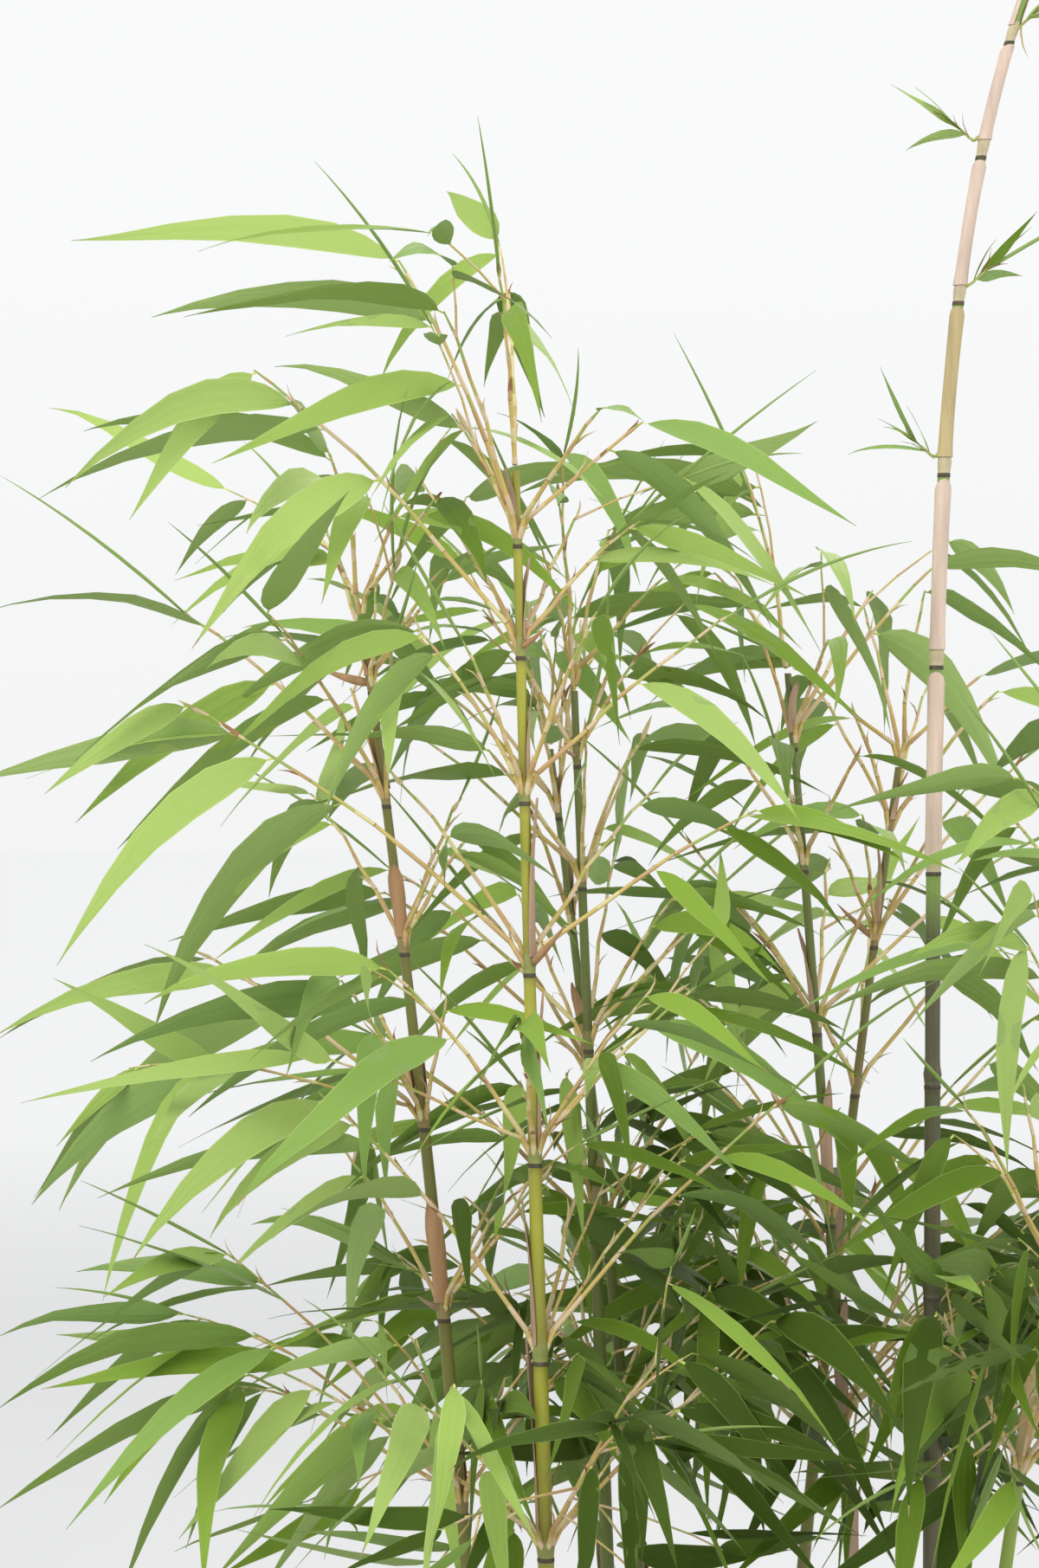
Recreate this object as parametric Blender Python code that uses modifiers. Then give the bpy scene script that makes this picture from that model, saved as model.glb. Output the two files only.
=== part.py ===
"""A clump of fine-leaved cane bamboo in a plain round pot.

Eight canes (culms) stand in potting soil. Every leafy joint of a culm carries one mass of foliage:
a short stem on the bud side of the joint, a fan of thin branches, and long narrow leaves fused to
them. The tallest culm is a new shoot with only small tufts. Metres, +Z up, origin at the centre
of the pot's flat underside, front towards -Y.
"""

import math
import random
from collections import namedtuple

import bmesh
import bpy
from mathutils import Vector
from mathutils.bvhtree import BVHTree

# ---------------------------------------------------------------- driving sizes
POT_HEIGHT = 0.300
POT_MOUTH_RADIUS = 0.170
POT_FOOT_RADIUS = 0.128
POT_WALL = 0.007
POT_FLOOR = 0.012
POT_RIM_DEPTH = 0.032
POT_RIM_OUT = 0.007
POT_STEPS = 32

SOIL_DEPTH_BELOW_RIM = 0.028
GAP = 0.0003

# the spaces between a culm's joints follow an arc of a sine wave, raised to a power
JOINT_ARC = (0.18, 0.68)
JOINT_POWER = 1.15
NODE_SWELL = 1.22
NODE_STEP = 0.003
CULM_SIDES = 5
CULM_TIP_SHARE = 0.42
FLARE = 1.35

STEM_RADIUS = 0.0022
STEM_LENGTH = 0.009
BRANCH_RADIUS = 0.0015
BRANCH_TIP_RADIUS = 0.0011
FAN = 4
FAN_SPREAD = 98.0
BRANCH_LENGTH = 0.168
LONG_BRANCH = 0.105
BRANCH_RISE = 46.0
TOP_LENGTH = 0.085
TOP_RISES = (74, 40, 62, 36)

LEAF_LENGTH = 0.150
LEAF_WIDTH_SHARE = 0.160
LEAF_THICK_SHARE = 0.0125
LEAF_WIDEST_AT = 0.26
# where a branch carries its leaves, as shares of its length, and how far each hangs below level
LEAF_PLACES = ((0.95, 16), (0.76, 26), (0.57, 34))
LEAF_TRIES = 7
LEAF_TURN = (26, 52)
LEAF_HANG_SPREAD = 14
LEAF_ROLL = (15, 68)
LEAF_SUNK = 0.0006
SPEAR_LENGTH = 0.105
SPEAR_WIDTH = 0.0034
TUFT_LEAF_LENGTH = 0.074
TUFT_STEM = 0.005
TUFT_TWIG = 0.034
TUFT_RISE = 66.0
TUFT_PLACES = ((0.98, -34), (0.75, -22), (0.5, -46))
CLEAR = 0.0010

# the crown's half width, half depth and the place of its middle, which every tip keeps inside
CROWN_HALF = Vector((0.385, 0.355))
CROWN_MIDDLE = Vector((0.0, 0.045))

SOIL_TOP = POT_HEIGHT - SOIL_DEPTH_BELOW_RIM

# foot and head are the culm axis at the soil and at its top, bow says how late it leans over,
# bare is how many joints above the soil carry nothing, bud is the way the first bud faces
Culm = namedtuple("Culm", "name foot head top radius joints bare bow bud reach")
CULMS = (
    Culm("culm_front", (-0.078, -0.055), (-0.101, -0.050), 1.096, 0.0050, 11, 3, 1.0, -84, 1.00),
    Culm("culm_left", (-0.112, 0.008), (-0.180, 0.026), 1.025, 0.0047, 10, 3, 1.5, -150, 0.80),
    Culm("culm_centre", (-0.046, 0.046), (-0.070, 0.085), 0.990, 0.0046, 9, 3, 1.2, 60, 0.88),
    Culm("culm_back", (0.084, 0.066), (0.045, 0.112), 1.000, 0.0044, 9, 3, 1.5, 40, 0.95),
    Culm("culm_back_right", (0.036, 0.106), (0.110, 0.172), 0.950, 0.0044, 9, 3, 1.4, 110, 1.0),
    Culm("culm_right", (0.118, -0.036), (0.200, -0.060), 0.885, 0.0046, 8, 3, 1.5, -40, 1.02),
    Culm("culm_back_left", (-0.020, 0.098), (-0.082, 0.180), 0.960, 0.0043, 9, 3, 1.4, 150, 1.0),
)
SHOOT = Culm("culm_shoot", (0.112, 0.010), (0.165, 0.004), 1.360, 0.0056, 13, 8, 8.0, 170, 1.0)

# the front culm's fans, from its lowest leafy joint up: the rise in degrees and the length of
# its left and of its right branches
FRONT_FANS = (
    (38, 0.165, 40, 0.150),
    (46, 0.168, 46, 0.172),
    (50, 0.120, 48, 0.112),
    (36, 0.200, 37, 0.140),
    (58, 0.095, 44, 0.138),
    (46, 0.178, 50, 0.085),
    (68, 0.155, 38, 0.112),
)

COLOURS = {
    "pot": (0.045, 0.047, 0.050, 1.0),
    "soil": (0.055, 0.034, 0.020, 1.0),
    "culm": (0.235, 0.265, 0.055, 1.0),
    "foliage": (0.150, 0.330, 0.060, 1.0),
}

Branch = namedtuple("Branch", "path radii heading length")
Leaf = namedtuple("Leaf", "base waist tip across width thick")


# ---------------------------------------------------------------- directions and culm geometry
def heading(azimuth, rise):
    """The unit vector of a compass angle from +X and a rise above level, both in degrees."""
    a, r = math.radians(azimuth), math.radians(rise)
    return Vector((math.cos(a) * math.cos(r), math.sin(a) * math.cos(r), math.sin(r)))


def joint_heights(culm):
    """Heights of a culm's joints: short spaces at the foot, long ones halfway, short at the top."""
    first, span = JOINT_ARC
    steps = [first + span * i / (culm.joints - 1) for i in range(culm.joints)]
    shares = [math.sin(math.pi * step) ** JOINT_POWER for step in steps]
    scale = (culm.top - SOIL_TOP) / sum(shares)
    heights, z = [], SOIL_TOP
    for share in shares:
        z += share * scale
        heights.append(z)
    return heights


def culm_axis(culm, z):
    """The point of a culm's axis at height z."""
    s = (z - SOIL_TOP) / (culm.top - SOIL_TOP)
    foot, head = Vector(culm.foot), Vector(culm.head)
    x, y = foot + (head - foot) * s**culm.bow
    return Vector((x, y, z))


def culm_radius(culm, z):
    """The radius between two joints at height z."""
    s = (z - SOIL_TOP) / (culm.top - SOIL_TOP)
    return culm.radius * (1 - (1 - CULM_TIP_SHARE) * s)


def culm_edge(culm, z, azimuth, room):
    """A point beside a culm, 0.3 mm clear of the ring at the joint below, with room above and below."""
    between_corners = 360 / CULM_SIDES
    off = (azimuth + between_corners / 2) % between_corners - between_corners / 2
    reach = culm_radius(culm, z) * NODE_SWELL * math.cos(math.radians(off))
    level = heading(azimuth, 0)
    centre = culm_axis(culm, z + room)
    lean = abs((centre - culm_axis(culm, z)).dot(level))
    return centre + level * (reach + GAP + lean)


def ring_corners(sides, centre, direction, radius):
    """The corners of a ring round a centre and square to a direction, with one corner level."""
    side = direction.cross(Vector((0, 0, 1)))
    side = side.normalized() if side.length > 1e-4 else Vector((1, 0, 0))
    other = direction.cross(side)
    turns = [math.tau * k / sides for k in range(sides)]
    return [centre + (side * math.cos(turn) + other * math.sin(turn)) * radius for turn in turns]


# ---------------------------------------------------------------- the growth rule
def grow_branch(start, azimuth, rise, length):
    """A straight branch that thins to its tip."""
    tip = start + heading(azimuth, rise) * length
    return Branch((start, tip), (BRANCH_RADIUS, BRANCH_TIP_RADIUS), azimuth, length)


def along(branch, share):
    """The point and the direction at a share of a branch's length."""
    start, tip = branch.path
    return start.lerp(tip, share), (tip - start).normalized()


def grow_leaf(rng, branch, share, side, length, droop):
    """A leaf that leaves its branch sideways, bends at its widest place and hangs outwards."""
    point, twig = along(branch, share)
    spread = side * rng.uniform(*LEAF_TURN) * (1.25 - 0.75 * share)
    fall = rng.gauss(droop, LEAF_HANG_SPREAD)
    outer = heading(branch.heading + spread, -fall)
    root = (twig * 0.42 + outer * 0.58).normalized()
    outer = (outer - Vector((0, 0, 0.08))).normalized()
    base = point - root * LEAF_SUNK
    waist = base + root * length * LEAF_WIDEST_AT
    tip = waist + outer * length * (1 - LEAF_WIDEST_AT)
    level = outer.cross(Vector((0, 0, 1))).normalized()
    roll = math.radians(side * rng.uniform(*LEAF_ROLL))
    across = level * math.cos(roll) + level.cross(outer) * math.sin(roll)
    return Leaf(base, waist, tip, across, length * LEAF_WIDTH_SHARE, length * LEAF_THICK_SHARE)


def grow_spear(rng, branch):
    """A young leaf, still rolled, that carries on straight from the end of a branch."""
    point, twig = along(branch, 1.0)
    length = SPEAR_LENGTH * rng.uniform(0.8, 1.2)
    ahead = (twig + heading(branch.heading, 10) * 0.35).normalized()
    base = point - twig * 0.004
    across = ahead.cross(Vector((0, 0, 1))).normalized()
    return Leaf(base, base + twig * length * 0.3, point + ahead * length, across, SPEAR_WIDTH, SPEAR_WIDTH)


def fan_sizes(culm, order, count, azimuth, rng):
    """Rise and length of one branch, by its joint's place in the crown and the way it points."""
    up = order / (count - 1)
    if culm.name == "culm_front" and order < len(FRONT_FANS):
        left_rise, left_length, right_rise, right_length = FRONT_FANS[order]
        to_right = 0.5 + 0.5 * math.cos(math.radians(azimuth))
        rise = left_rise + (right_rise - left_rise) * to_right
        length = left_length + (right_length - left_length) * to_right
        across = abs(math.cos(math.radians(azimuth)))
        return rise + rng.uniform(-5, 5), length * (0.80 + 0.25 * across) * rng.uniform(0.92, 1.06)
    outward = math.atan2(culm.head[1], culm.head[0])
    facing = math.cos(math.radians(azimuth) - outward)
    rise = BRANCH_RISE - 10 * facing + 16 * up * up + rng.uniform(-7, 7)
    length = BRANCH_LENGTH * culm.reach * (0.84 + 0.24 * facing) * (1 - 0.35 * up**2)
    return rise, length * rng.uniform(0.85, 1.12)


def plan_fan(culm, order, count, z):
    """The stem and branches of the mass at one joint. The uppermost grows from the culm's end."""
    top = order == count - 1
    bud = culm.bud + 180 * (order % 2) + random.Random(f"{culm.name} {order}").uniform(-14, 14)
    out = heading(0, 90) if top else heading(bud, 0)
    start = culm_axis(culm, z) + out * GAP if top else culm_edge(culm, z, bud, STEM_RADIUS)
    stem = Branch((start, start + out * STEM_LENGTH), (STEM_RADIUS,) * 2, bud, STEM_LENGTH)
    branches = []
    for i in range(FAN):
        rng = random.Random(f"{culm.name} {order} {i}")
        if top:
            azimuth = bud + 360 * i / FAN + rng.uniform(-15, 15)
            rise, length = TOP_RISES[i], TOP_LENGTH * rng.uniform(0.9, 1.15)
        else:
            azimuth = bud + FAN_SPREAD * (2 * i / (FAN - 1) - 1) + rng.uniform(-8, 8)
            rise, length = fan_sizes(culm, order, count, azimuth, rng)
        branches.append(grow_branch(stem.path[1] - out * 0.001, azimuth, rise, length))
    return stem, branches


def plan_leaves(culm, order, number, branch):
    """Leaves of one branch, the outermost first, each as a list of tries, and some spears."""
    rng = random.Random(f"leaves {culm.name} {order} {number}")
    side = rng.choice((-1, 1))
    leaves = [[grow_spear(rng, branch)]] if (order + number) % 4 == 1 else []
    for share, droop in LEAF_PLACES if branch.length > LONG_BRANCH else LEAF_PLACES[:2]:
        length = LEAF_LENGTH * rng.uniform(0.86, 1.14) * (0.8 + 1.3 * branch.length)
        tries = [
            grow_leaf(rng, branch, share - 0.03 * i, side, length * (1 - 0.06 * i), droop)
            for i in range(LEAF_TRIES)
        ]
        leaves.append(tries)
        side = -side
    return leaves


def plan_tuft(order, z):
    """A small tuft on the new shoot: a stub with three short leaves that stand nearly upright."""
    rng = random.Random(f"tuft {order}")
    bud = SHOOT.bud + 180 * (order % 2)
    level = heading(bud, 0)
    start = culm_edge(SHOOT, z, bud, STEM_RADIUS)
    stem = Branch((start, start + level * TUFT_STEM), (STEM_RADIUS,) * 2, bud, TUFT_STEM)
    shoot = grow_branch(stem.path[1] - level * 0.001, bud, TUFT_RISE, TUFT_TWIG)
    leaves = []
    for share, droop in TUFT_PLACES:
        length = TUFT_LEAF_LENGTH * rng.uniform(0.8, 1.25)
        leaves.append(grow_leaf(rng, shoot, share, rng.choice((-1, 1)), length, droop))
    return stem, [shoot], leaves


# ---------------------------------------------------------------- keeping to its own space
def leaf_hull(leaf, clear=0.0):
    """Corners and faces of a leaf's eight-faced solid, grown by clear."""
    along_leaf = (leaf.tip - leaf.waist).normalized()
    up = leaf.across.cross(along_leaf).normalized()
    side, lift = leaf.across * (leaf.width / 2 + clear), up * (leaf.thick / 2 + clear)
    ring = [leaf.waist + side, leaf.waist + lift, leaf.waist - side, leaf.waist - lift]
    ends = [leaf.base, leaf.tip + along_leaf * clear]
    faces = [(i, (i + 1) % 4, 4) for i in range(4)] + [((i + 1) % 4, i, 5) for i in range(4)]
    return ring + ends, faces


def tube_hull(path, radii, clear=0.0):
    """Corners and faces of a three-sided tube along a path."""
    points, faces = [], []
    for i, (point, radius) in enumerate(zip(path, radii)):
        ahead = (path[min(i + 1, len(path) - 1)] - path[max(i - 1, 0)]).normalized()
        points += ring_corners(3, point, ahead, radius + clear)
        if i:
            for k in range(3):
                a, b = 3 * i + k, 3 * i + (k + 1) % 3
                faces.append((a - 3, b - 3, b, a))
    return points, faces


class Space:
    """What is already taken, so that a new twig or leaf that would touch it is skipped."""

    def __init__(self):
        self.taken = []

    def add(self, owner, hull):
        points, faces = hull
        self.taken.append((owner, *box_of(points), BVHTree.FromPolygons(points, faces)))

    def free(self, hull, own):
        """Whether a hull touches nothing, apart from what belongs to the branch or mass it is on."""
        points, faces = hull
        low, high = box_of(points)
        tree = BVHTree.FromPolygons(points, faces)
        for owner, other_low, other_high, other_tree in self.taken:
            apart = any(high[k] < other_low[k] or low[k] > other_high[k] for k in range(3))
            if not apart and not owner.startswith(own) and tree.overlap(other_tree):
                return False
        return True


def box_of(points):
    low = [min(p[k] for p in points) for k in range(3)]
    high = [max(p[k] for p in points) for k in range(3)]
    return low, high


def in_crown(point):
    off = Vector(point[:2]) - CROWN_MIDDLE
    return math.hypot(off.x / CROWN_HALF.x, off.y / CROWN_HALF.y) < 1


def culm_hull(culm, steps=12):
    """A tube a little wider than the culm, which twigs and leaves keep out of."""
    heights = [SOIL_TOP + (culm.top - SOIL_TOP) * i / steps for i in range(steps + 1)]
    path = [culm_axis(culm, z) for z in heights]
    return tube_hull(path, [culm_radius(culm, z) * NODE_SWELL * 2 for z in heights])


def plan_plant():
    """Every mass of the plant as {name: (stem, branches, leaves)}, none touching another."""
    space = Space()
    for culm in CULMS + (SHOOT,):
        space.add(culm.name, culm_hull(culm))
    masses, waiting, growing = {}, [], []
    for culm in CULMS:
        heights = joint_heights(culm)[culm.bare :]
        for order, z in enumerate(heights):
            name = culm.name.replace("culm", "foliage") + f"_{order + 1}"
            stem, branches = plan_fan(culm, order, len(heights), z)
            masses[name] = (stem, [], [])
            space.add(f"{name}/stem", tube_hull(stem.path, stem.radii))
            waiting += [(name, culm, order, i, branch) for i, branch in enumerate(branches)]
    for order, z in enumerate(joint_heights(SHOOT)[SHOOT.bare :]):
        name = f"tuft_{order + 1}"
        masses[name] = plan_tuft(order, z)
        for leaf in masses[name][2]:
            space.add(name, leaf_hull(leaf))
    for name, culm, order, i, branch in waiting:
        if space.free(tube_hull(branch.path, branch.radii, CLEAR), f"{name}/"):
            space.add(f"{name}/{i}", tube_hull(branch.path, branch.radii))
            masses[name][1].append(branch)
            growing.append((name, f"{name}/{i}", plan_leaves(culm, order, i, branch)))
    most = max(len(leaves) for name, own, leaves in growing)
    for turn in range(most):
        for name, own, leaves in growing:
            for leaf in leaves[turn] if turn < len(leaves) else []:
                if in_crown(leaf.tip) and space.free(leaf_hull(leaf, CLEAR), own):
                    space.add("leaf", leaf_hull(leaf))
                    masses[name][2].append(leaf)
                    break
    return masses


# ---------------------------------------------------------------- solids
def material(name):
    mat = bpy.data.materials.new(name)
    mat.use_nodes = True
    mat.diffuse_color = COLOURS[name]
    surface = mat.node_tree.nodes["Principled BSDF"]
    surface.inputs["Base Color"].default_value = COLOURS[name]
    surface.inputs["Roughness"].default_value = 0.55 if name in ("pot", "foliage") else 0.8
    return mat


def new_object(name, bm, collection, mat=None):
    mesh = bpy.data.meshes.new(name)
    bm.to_mesh(mesh)
    bm.free()
    thing = bpy.data.objects.new(name, mesh)
    if mat:
        mesh.materials.append(mat)
    collection.objects.link(thing)
    return thing


def limb(rings, sides):
    """A closed limb: a capped ring extruded from one (centre, direction, radius) to the next."""
    bm = bmesh.new()
    verts = bmesh.ops.create_circle(bm, cap_ends=True, segments=sides, radius=1.0)["verts"]
    cap = verts[0].link_faces[0]
    place(cap.verts, ring_corners(sides, *rings[0]))
    for number, ring in enumerate(rings[1:]):
        grown = bmesh.ops.extrude_face_region(bm, geom=[cap])["geom"]
        if number:
            bmesh.ops.delete(bm, geom=[cap], context="FACES_ONLY")
        cap = next(g for g in grown if isinstance(g, bmesh.types.BMFace))
        place(cap.verts, ring_corners(sides, *ring))
    return face_outwards(bm)


def place(verts, corners):
    for vert, corner in zip(verts, corners):
        vert.co = corner


def face_outwards(bm):
    bmesh.ops.recalc_face_normals(bm, faces=bm.faces[:])
    if bm.calc_volume(signed=True) < 0:
        bmesh.ops.reverse_faces(bm, faces=bm.faces[:])
    return bm


def twig_bmesh(branch):
    path, rings = branch.path, []
    for i, (point, radius) in enumerate(zip(path, branch.radii)):
        ahead = (path[min(i + 1, len(path) - 1)] - path[max(i - 1, 0)]).normalized()
        rings.append((point, ahead, radius))
    return limb(rings, 3)


def leaf_bmesh(leaf):
    """An octahedron drawn out to a leaf: one pole at the base, one at the tip, the ring at the waist."""
    bm = bmesh.new()
    bmesh.ops.create_uvsphere(bm, u_segments=4, v_segments=2, radius=1.0)
    along_leaf = (leaf.tip - leaf.waist).normalized()
    up = leaf.across.cross(along_leaf).normalized()
    for vert in bm.verts:
        x, y, z = vert.co
        if abs(z) > 0.5:
            vert.co = leaf.tip if z > 0 else leaf.base
        else:
            vert.co = leaf.waist + leaf.across * (x * leaf.width / 2) + up * (y * leaf.thick / 2)
    return face_outwards(bm)


def keep_largest_shell(mesh):
    """Fills what the union sealed off inside and drops any loose scrap: only the main shell stays."""
    bm = bmesh.new()
    bm.from_mesh(mesh)
    unseen, shells = set(bm.verts), []
    while unseen:
        front = [unseen.pop()]
        shell = list(front)
        while front:
            near = {edge.other_vert(vert) for vert in front for edge in vert.link_edges}
            front = list(near & unseen)
            unseen -= near
            shell += front
        shells.append(shell)
    shells.sort(key=len)
    bmesh.ops.delete(bm, geom=[vert for shell in shells[:-1] for vert in shell], context="VERTS")
    bm.to_mesh(mesh)
    bm.free()


def build_mass(name, plan, parts, scraps, mat):
    """One solid of a stem, its branches and its leaves, joined by one Boolean union."""
    stem, branches, leaves = plan
    body = new_object(name, twig_bmesh(stem), parts, mat)
    for number, branch in enumerate(branches):
        new_object(f"{name}_twig_{number}", twig_bmesh(branch), scraps)
    for number, leaf in enumerate(leaves):
        new_object(f"{name}_leaf_{number}", leaf_bmesh(leaf), scraps)
    union = body.modifiers.new("join", "BOOLEAN")
    union.operation = "UNION"
    union.operand_type = "COLLECTION"
    union.collection = scraps
    union.solver = "MANIFOLD"
    bpy.context.view_layer.objects.active = body
    bpy.ops.object.modifier_apply(modifier="join")
    for scrap in list(scraps.objects):
        bpy.data.objects.remove(scrap)
    keep_largest_shell(body.data)


def build_culm(culm, parts, mat):
    """A tapering cane that flares a little at the soil and steps out at every joint."""
    up = Vector((0, 0, 1))
    foot = SOIL_TOP + GAP
    rings = [(culm_axis(culm, foot), up, culm.radius * FLARE)]
    heights = joint_heights(culm)
    for z in heights:
        rings.append((culm_axis(culm, z - NODE_STEP), up, culm_radius(culm, z)))
        rings.append((culm_axis(culm, z), up, culm_radius(culm, z) * NODE_SWELL))
    new_object(culm.name, limb(rings, CULM_SIDES), parts, mat)


def turned(name, outline, parts, mat):
    """A turned solid: an outline of (radius, height) points, down the outer side and back up."""
    mesh = bpy.data.meshes.new(name)
    edges = [(i, i + 1) for i in range(len(outline) - 1)]
    mesh.from_pydata([(r, 0.0, z) for r, z in outline], edges, [])
    mesh.materials.append(mat)
    thing = bpy.data.objects.new(name, mesh)
    parts.objects.link(thing)
    screw = thing.modifiers.new("turn", "SCREW")
    screw.steps = screw.render_steps = POT_STEPS
    screw.use_merge_vertices = True
    screw.merge_threshold = 0.0001
    return thing


def build_pot(parts):
    rim_bottom = POT_HEIGHT - POT_RIM_DEPTH
    slope = (POT_MOUTH_RADIUS - POT_FOOT_RADIUS) / POT_HEIGHT
    under_rim = POT_FOOT_RADIUS + slope * rim_bottom
    inner_mouth = POT_MOUTH_RADIUS - POT_WALL
    inner_foot = POT_FOOT_RADIUS - POT_WALL
    turned(
        "pot",
        [
            (0.0, POT_FLOOR),
            (inner_foot, POT_FLOOR),
            (inner_mouth, POT_HEIGHT - 0.003),
            (inner_mouth + 0.003, POT_HEIGHT),
            (POT_MOUTH_RADIUS + POT_RIM_OUT - 0.003, POT_HEIGHT),
            (POT_MOUTH_RADIUS + POT_RIM_OUT, POT_HEIGHT - 0.003),
            (under_rim + POT_RIM_OUT, rim_bottom),
            (under_rim, rim_bottom - 0.004),
            (POT_FOOT_RADIUS, 0.004),
            (POT_FOOT_RADIUS - 0.004, 0.0),
            (0.0, 0.0),
        ],
        parts,
        material("pot"),
    )


def build_soil(parts):
    slope = (POT_MOUTH_RADIUS - POT_FOOT_RADIUS) / (POT_HEIGHT - 0.003 - POT_FLOOR)
    foot = POT_FOOT_RADIUS - POT_WALL - GAP
    top = foot + slope * (SOIL_TOP - POT_FLOOR)
    turned(
        "soil",
        [(0.0, SOIL_TOP), (top, SOIL_TOP), (foot, POT_FLOOR + GAP), (0.0, POT_FLOOR + GAP)],
        parts,
        material("soil"),
    )


def main():
    for thing in list(bpy.data.objects):
        bpy.data.objects.remove(thing)
    parts = bpy.data.collections.new("potted_bamboo")
    scraps = bpy.data.collections.new("scraps")
    bpy.context.scene.collection.children.link(parts)
    bpy.context.scene.collection.children.link(scraps)
    build_pot(parts)
    build_soil(parts)
    cane = material("culm")
    for culm in CULMS + (SHOOT,):
        build_culm(culm, parts, cane)
    foliage = material("foliage")
    masses = plan_plant()
    for name, plan in masses.items():
        build_mass(name, plan, parts, scraps, foliage)
    bpy.data.collections.remove(scraps)
    print(len(masses), "masses,", sum(len(plan[2]) for plan in masses.values()), "leaves")


if __name__ == "__main__":
    main()
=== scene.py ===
# %% [markdown]
# # A potted bamboo, dressed
# The solid model of the plant is loaded as a fixed frame. Everything made below is built round
# it, in metres, and stands for one or more of its parts. The box of the solid model is kept,
# because the leaves below are placed within it.

import math
import random
from collections import namedtuple

import bpy
import numpy as np
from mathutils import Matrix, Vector, noise
from mathutils.bvhtree import BVHTree


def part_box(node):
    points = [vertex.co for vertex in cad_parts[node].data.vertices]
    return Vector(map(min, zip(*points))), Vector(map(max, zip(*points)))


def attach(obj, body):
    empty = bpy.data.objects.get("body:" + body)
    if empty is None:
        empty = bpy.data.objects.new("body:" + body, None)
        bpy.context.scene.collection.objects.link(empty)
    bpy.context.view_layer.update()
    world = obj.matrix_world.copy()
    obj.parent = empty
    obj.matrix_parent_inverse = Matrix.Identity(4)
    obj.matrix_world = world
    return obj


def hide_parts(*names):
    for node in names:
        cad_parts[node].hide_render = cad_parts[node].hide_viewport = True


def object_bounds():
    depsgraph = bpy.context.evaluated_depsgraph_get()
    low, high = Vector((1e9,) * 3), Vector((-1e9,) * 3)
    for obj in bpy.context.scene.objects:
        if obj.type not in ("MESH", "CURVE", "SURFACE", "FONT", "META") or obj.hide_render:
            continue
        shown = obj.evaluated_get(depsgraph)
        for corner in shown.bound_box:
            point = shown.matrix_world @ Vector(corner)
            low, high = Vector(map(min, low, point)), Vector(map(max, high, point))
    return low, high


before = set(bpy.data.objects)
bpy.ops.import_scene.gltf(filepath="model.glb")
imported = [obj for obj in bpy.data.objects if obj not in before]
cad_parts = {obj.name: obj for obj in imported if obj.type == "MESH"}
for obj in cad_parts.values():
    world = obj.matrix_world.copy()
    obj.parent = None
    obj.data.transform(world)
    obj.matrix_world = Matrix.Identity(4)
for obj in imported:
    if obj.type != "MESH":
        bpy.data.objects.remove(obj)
cad_low, cad_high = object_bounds()
masses = sorted(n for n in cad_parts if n.startswith(("foliage", "tuft")))
print("frame:", len(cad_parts), "nodes,", len(masses), "masses of leaves")
print("solid box:", [round(v, 3) for v in cad_high - cad_low])

# %% [markdown]
# ## Camera and light
# The plant is seen level, from two metres in front, through a long lens. One large lamp to the
# upper left gives the leaves their light and shade, and two weaker ones soften the shadows.

# %% Camera
scene = bpy.context.scene
scene.view_settings.view_transform = "Standard"

CAMERA_AT = (-0.099, -2.05, 0.9406)
CAMERA_LENS, SENSOR_WIDTH = 92.5, 36
LEVEL_VIEW = (math.pi / 2, 0, 0)
CLIP = (0.05, 60)

bpy.ops.object.camera_add(location=CAMERA_AT, rotation=LEVEL_VIEW)
camera = bpy.context.active_object
camera.data.lens = CAMERA_LENS
camera.data.sensor_width = SENSOR_WIDTH
camera.data.clip_start, camera.data.clip_end = CLIP
scene.camera = camera
print("camera at", CAMERA_AT, "with a", CAMERA_LENS, "mm lens")

# %% Lamps
CROWN_CENTRE = Vector((0, 0.05, 0.85))
LAMPS = (
    ("key_lamp", (-1.9, -2.3, 3.1), 3.2, 72, (1.0, 0.985, 0.96)),
    ("fill_lamp", (2.6, -1.5, 1.9), 3.0, 30, (0.97, 0.985, 1.0)),
    ("back_lamp", (0.9, 2.9, 2.6), 2.4, 30, (1.0, 0.99, 0.97)),
)
for name, place, size, energy, colour in LAMPS:
    bpy.ops.object.light_add(type="AREA", location=place)
    lamp = bpy.context.active_object
    lamp.name = name
    lamp.data.shape = "DISK"
    lamp.data.size = size
    lamp.data.energy = energy
    lamp.data.color = colour
    lamp.rotation_euler = (CROWN_CENTRE - Vector(place)).to_track_quat("-Z", "Y").to_euler()
    print(name, "of", energy, "watts")

# %% [markdown]
# ## Shader nodes
# World, floor and finishes are small graphs of nodes. Two helpers keep them readable: one adds
# a node with its values, and one joins nodes by a list of wires. The colour sockets of a Mix
# node share their names with its other sockets, so they are called by number.


# %% Nodes and wires
MIX_A, MIX_B, MIX_OUT = 6, 7, 2


def add_node(tree, kind, values=None, **settings):
    """A shader node with its settings, and with values for its inputs by name or number."""
    node = tree.nodes.new("ShaderNode" + kind)
    for name, value in settings.items():
        setattr(node, name, value)
    for socket, value in (values or {}).items():
        node.inputs[socket].default_value = value
    return node


def wire(tree, *wires):
    """Joins nodes, each wire given as (from node, its output, to node, its input)."""
    for source, output, target, socket in wires:
        tree.links.new(source.outputs[output], target.inputs[socket])


def fade(tree, source, output, near, far, colours):
    """A Mix node that goes from one colour to another while an output goes from near to far."""
    reach = add_node(tree, "MapRange", {"From Min": near, "From Max": far})
    mix = add_node(tree, "Mix", {MIX_A: colours[0], MIX_B: colours[1]}, data_type="RGBA")
    wire(tree, (source, output, reach, "Value"), (reach, "Result", mix, "Factor"))
    return mix


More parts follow.
